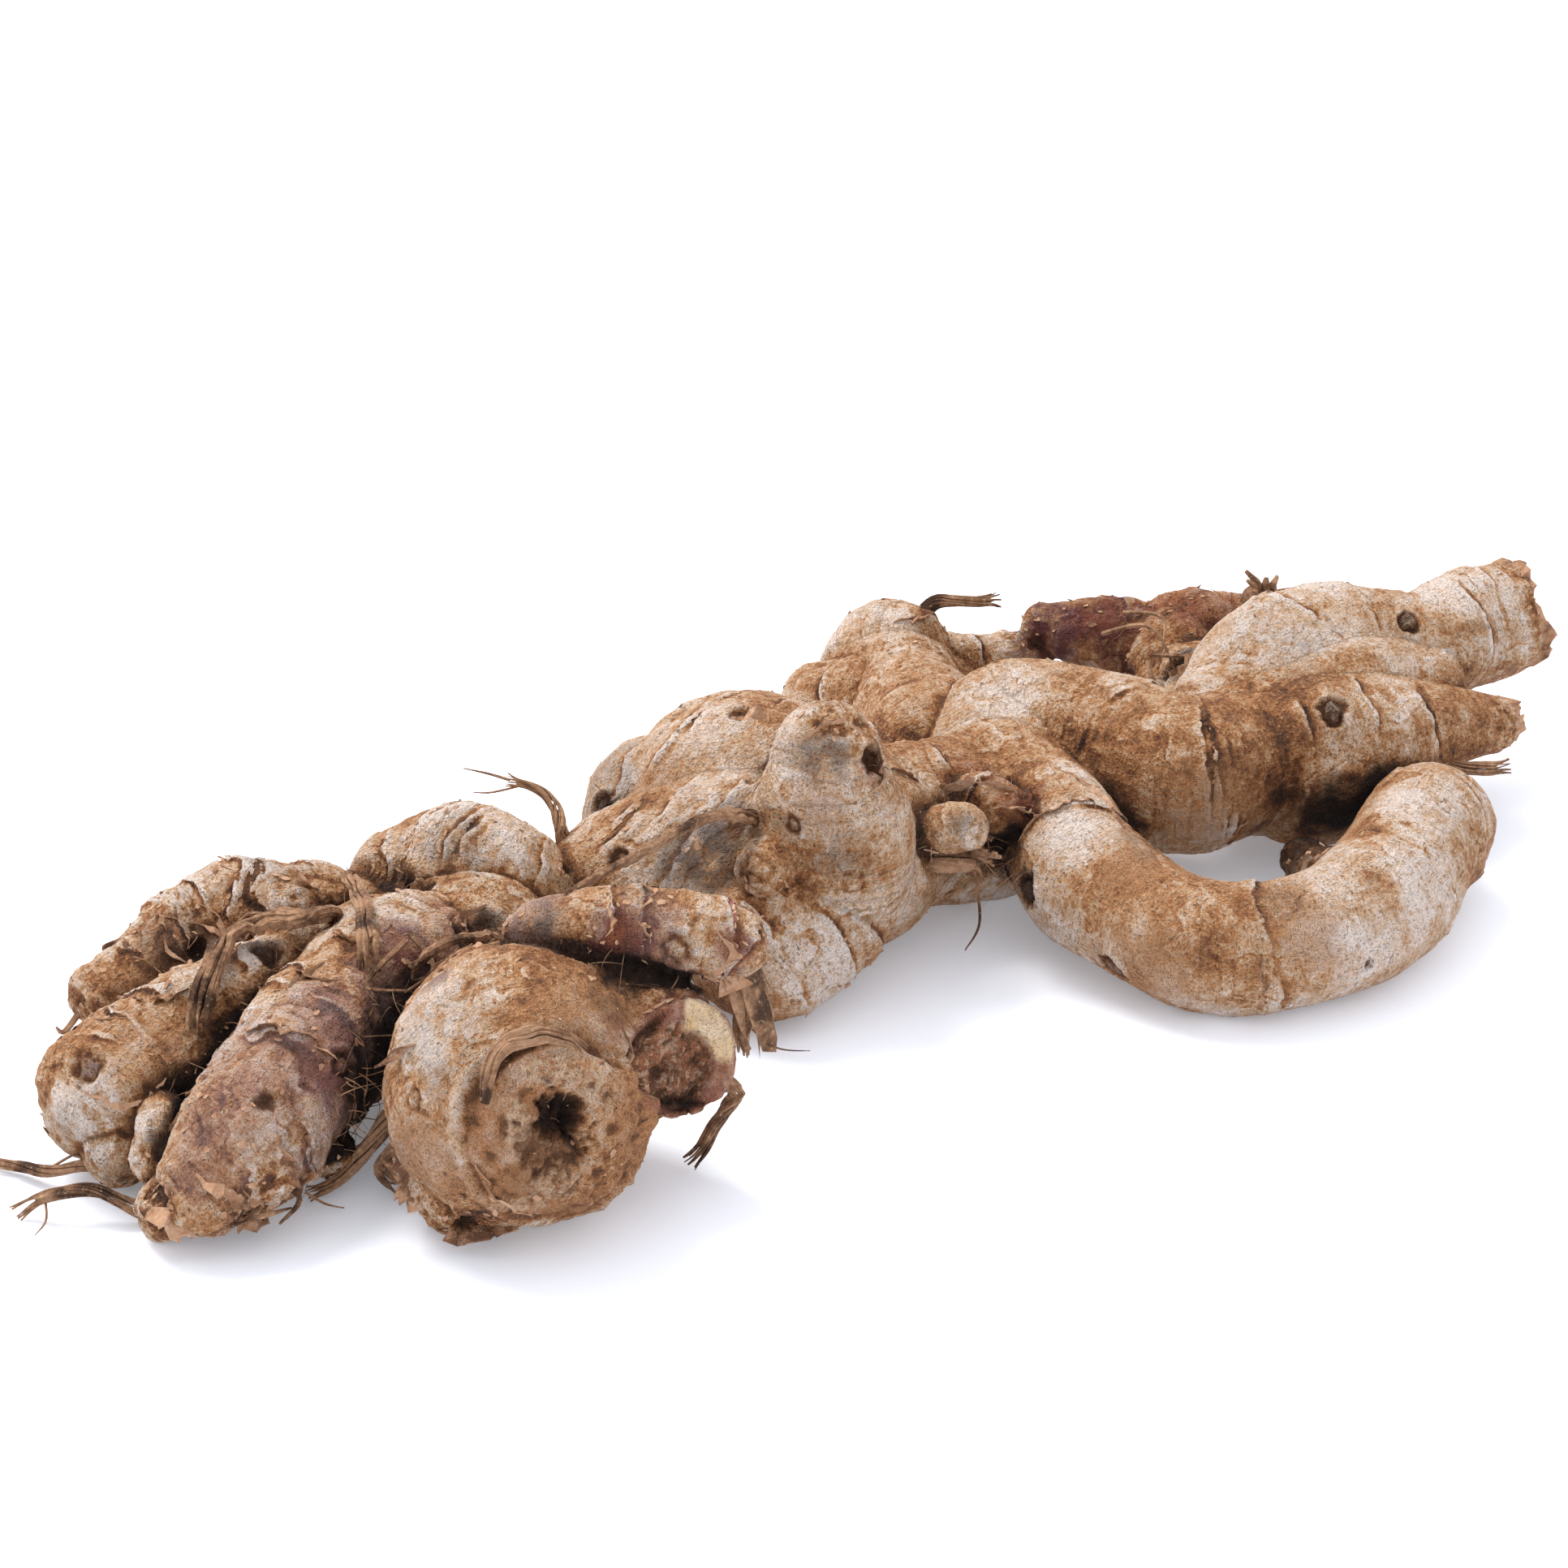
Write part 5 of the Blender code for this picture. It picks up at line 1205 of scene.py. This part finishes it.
def skinPaint():
    # Tones by patch and relief, with painted light on upward faces and painted shade in hollows, then the
    # coloured places, scars and painted shade in the clefts laid over them in turn.
    paint = Paint("papery skin", Roughness=0.8, Specular_IOR_Level=0.25)
    ramp, field, colours = paint.ramp, paint.field, skinColours
    at, grow = paint.place(), field("grow", "Vector")
    broad, mottle, grain, fleck = (paint.noise(at, *values) for values in skinNoises)
    lines, fibres, dashes = (paint.noise(paint.stretch(grow, by), 1.0, *values) for by, *values in skinFibres)
    free, pit, gap, show, plate = (field(name) for name in ("free", "pit", "ringGap", "ringShow", "peel"))
    ringLine = ramp(gap, 0.0, 0.15) * ramp(gap, 1.0, 0.25) * show
    ringLip = ramp(gap, -0.9, -0.1) * ramp(gap, 0.15, 0.0) * show
    lip = ramp(plate, -0.01, 0.03) * ramp(plate, 0.16, 0.05) * ramp(mottle, 0.35, 0.6)
    # Painted shadow just under the lifted edges of the peel.
    peelShadow = ramp(plate, -0.13, -0.03) * ramp(plate, 0.01, -0.02) * ramp(mottle, 0.4, 0.6)
    tone = broad * 1.1 + mottle * 0.48 + lines * 0.38 + fibres * 0.20 + grain * 0.42 + fleck * 0.32 - 0.835
    # Painted light on upward faces and painted shade where the skin is enclosed.
    tone = tone + field("sky") * 0.02 + ramp(free, 0.3, 0.9, -0.26, 0.05)
    tone = tone + field("pale") * 0.20 - field("crust") * ramp(mottle, 0.3, 0.65, 0.10, 0.02)
    # pit: painted shade in small hollows.
    tone = tone - pit * 0.24 + 0.12 + ringLip * 0.15 - ringLine * ramp(mottle, 0.35, 0.6, 0.22, 0.55)
    tone = tone - ramp(field("rim"), 0.2, 1.0, 0.0, 0.05) + lip * 0.08 - peelShadow * 0.15
    tone = tone - field("brown") * 0.17 - field("torn") * ramp(mottle + grain * 0.5, 0.6, 0.9, 0.3, 0.0)
    # Painted shade in broad hollows.
    tone = tone - ramp(field("hollow"), 0.55, 0.85, 0.0, 0.12)
    blotch = ramp(mottle * 0.6 + grain * 0.4, 0.34, 0.56, 0.25, 1.0)
    raw = paint.mix(ramp(grain + mottle * 0.6, 0.78, 0.97), colours["torn"], colours["tornLight"])
    raw = paint.mix(ramp(mottle - grain * 0.3, 0.32, 0.22, 0, 0.8), raw, colours["bark"])
    flesh = paint.mix(ramp(mottle, 0.35, 0.65), colours["flesh"], colours["fleshPale"])
    layers = (
        (ramp(dashes + grain * 0.5, 0.65, 0.52, 0, 0.6), "dash"),
        (ramp(grain + fibres * 0.4, 0.80, 0.92, 0, 0.4), "straw"),
        (field("tan") * blotch * 0.9, "tan"), (field("lilac") * blotch * 0.75, "lilac"),
        (field("maroon") * blotch * 0.95, "maroon"), (field("red") * blotch * 0.9, "red"),
        (field("amber") * ramp(mottle + grain * 0.5, 0.6, 0.85, 0.45, 0.95), "amber"),
        (field("chalk") * ramp(grain + mottle * 0.5, 0.62, 0.88, 0.1, 0.85), "chalk"),
        (field("rust") * ramp(mottle * 0.5 + grain * 0.5, 0.36, 0.56), "rust"),
        (field("raw"), raw),
        # Grey places, some of them painted shadow under the strip on the hump.
        (field("grey") * ramp(mottle * 0.7 + grain * 0.3, 0.34, 0.54) * 0.8, "grey"),
        (ramp(mottle * 0.6 + broad * 0.4, 0.42, 0.36, 0, 0.25) * ramp(grain, 0.4, 0.55), "grey"),
        # Scar hollows in their dark colour, with the painted shadow in the stem scar's top gap.
        (field("inside") * ramp(grain, 0.7, 0.4, 0.5, 0.95), "eye"),
        # Painted shade in the deepest small hollows, in bark brown.
        (ramp(pit + grain * 0.4, 0.95, 1.25, 0, 0.7), "bark"),
        # Painted shade in the clefts, from how enclosed each place is.
        (ramp(free + mottle * 0.3, 0.87, 0.50), "dark"),
        # Painted shade at the listed dark places, in the clefts and under parts, with a few dark scar
        # hollows.
        (field("dark") * ramp(mottle, 0.3, 0.55, 0.4, 1.0), "dark"),
        (field("flesh"), flesh),
    )
    colour = paint.tones(tone, skinTones)
    for share, layer in layers:
        colour = paint.mix(share, colour, colours[layer] if isinstance(layer, str) else layer)
    paint.join(colour, "Base Color")
    paint.join(paint.ramp(mottle, 0.3, 0.7, 0.72, 0.92), "Roughness")
    coarse = paint.bump(mottle * 0.7 + fibres * 0.5 + dashes * 0.4, 0.0009, 0.9)
    paint.join(paint.bump(grain + fleck * 0.4, 0.0008, 1.0, Normal=coarse), "Normal")
    return paint.material


rootColours = {"dark": (0.035, 0.017, 0.010), "brown": (0.14, 0.067, 0.034), "tan": (0.34, 0.195, 0.112),
               "straw": (0.52, 0.35, 0.21)}
scaleColours = {"dark": (0.10, 0.045, 0.025), "brown": (0.30, 0.15, 0.080), "tan": (0.46, 0.28, 0.175),
                "straw": (0.62, 0.46, 0.35)}


def rootPaint(name, colours):
    paint = Paint(name, Roughness=0.85, Specular_IOR_Level=0.2)
    at = paint.place()
    broad = paint.noise(at, 0.006, 5, 0.65)
    grain = paint.noise(at, 0.0006, 4, 0.65)
    colour = paint.mix(paint.ramp(broad + grain * 0.6, 0.62, 0.98), colours["brown"], colours["tan"])
    colour = paint.mix(paint.ramp(broad - grain * 0.3, 0.33, 0.22, 0, 0.85), colour, colours["dark"])
    colour = paint.mix(paint.ramp(grain, 0.57, 0.72, 0, 0.6), colour, colours["straw"])
    paint.join(colour, "Base Color")
    paint.join(paint.bump(grain, 0.0003, 0.8), "Normal")
    return paint.material


budColours = {"maroon": (0.16, 0.035, 0.035), "brown": (0.24, 0.095, 0.055), "cream": (0.62, 0.45, 0.34)}


def budPaint():
    # Maroon and red-brown scales with pale worn places.
    paint = Paint("bud scale", Roughness=0.7, Specular_IOR_Level=0.3)
    at = paint.place()
    patch = paint.noise(at, 0.0018, 4, 0.6)
    grain = paint.noise(at, 0.0005, 3, 0.6)
    colour = paint.mix(paint.ramp(patch, 0.4, 0.6), budColours["maroon"], budColours["brown"])
    colour = paint.mix(paint.ramp(patch * 0.6 + grain * 0.6, 0.62, 0.74), colour, budColours["cream"])
    paint.join(colour, "Base Color")
    paint.join(paint.bump(grain, 0.0002, 0.6), "Normal")
    return paint.material


# The scene

def dress(piece, material):
    piece.data.materials.clear()
    piece.data.materials.append(material)
    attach(piece, "root")
    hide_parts("rhizome")
    print(piece.name, sum(len(face.vertices) - 2 for face in piece.data.polygons), "triangles")


floorSetup = {"size": 3, "drop": 0.00003, "colour": (0.90, 0.93, 1.0, 1), "glow": (0.88, 0.93, 1.0, 1),
              "glowStrength": 0.16}


def buildFloor(setup):
    bm = bmesh.new()
    bmesh.ops.create_grid(bm, x_segments=1, y_segments=1, size=setup["size"])
    bmesh.ops.translate(bm, verts=bm.verts, vec=(0, 0, -setup["drop"]))
    floor = toObject(bm, "floor", toFrame=False)
    floor.data.materials.append(Paint("white paper", Roughness=0.6, Specular_IOR_Level=0.2,
                                      Base_Color=setup["colour"], Emission_Color=setup["glow"],
                                      Emission_Strength=setup["glowStrength"]).material)


bpy.context.scene.view_settings.view_transform = "Standard"
addCamera(cameraSetup)
addLights(lightSetup)
buildFloor(floorSetup)
print("camera, light and floor set")
skin = skinPaint()
body = fusedBody()
tree, points, normals, free, loose = growSkin(body)
for piece in cutSkin(body, ("skinOfFingers", "skinOfBulb", "skinOfHump", "skinOfMiddle", "skinOfEnd")):
    dress(piece, skin)
dry = rootPaint("dried root", rootColours)
dress(buildRoots(tree), dry)
dress(buildHairs(points, normals, free), dry)
print("roots and hairs grown")
papery = rootPaint("papery scale", scaleColours)
dress(buildScaleEdges(tree), papery)
dress(buildFlaps(tree, flaps, "barkFlaps"), papery)
dress(buildFlaps(tree, sheathStrips, "hangingSheath"), dry)
dress(buildBudScales(), budPaint())
dress(buildFlakes(points, normals, loose), papery)
print("scale edges and flakes laid")
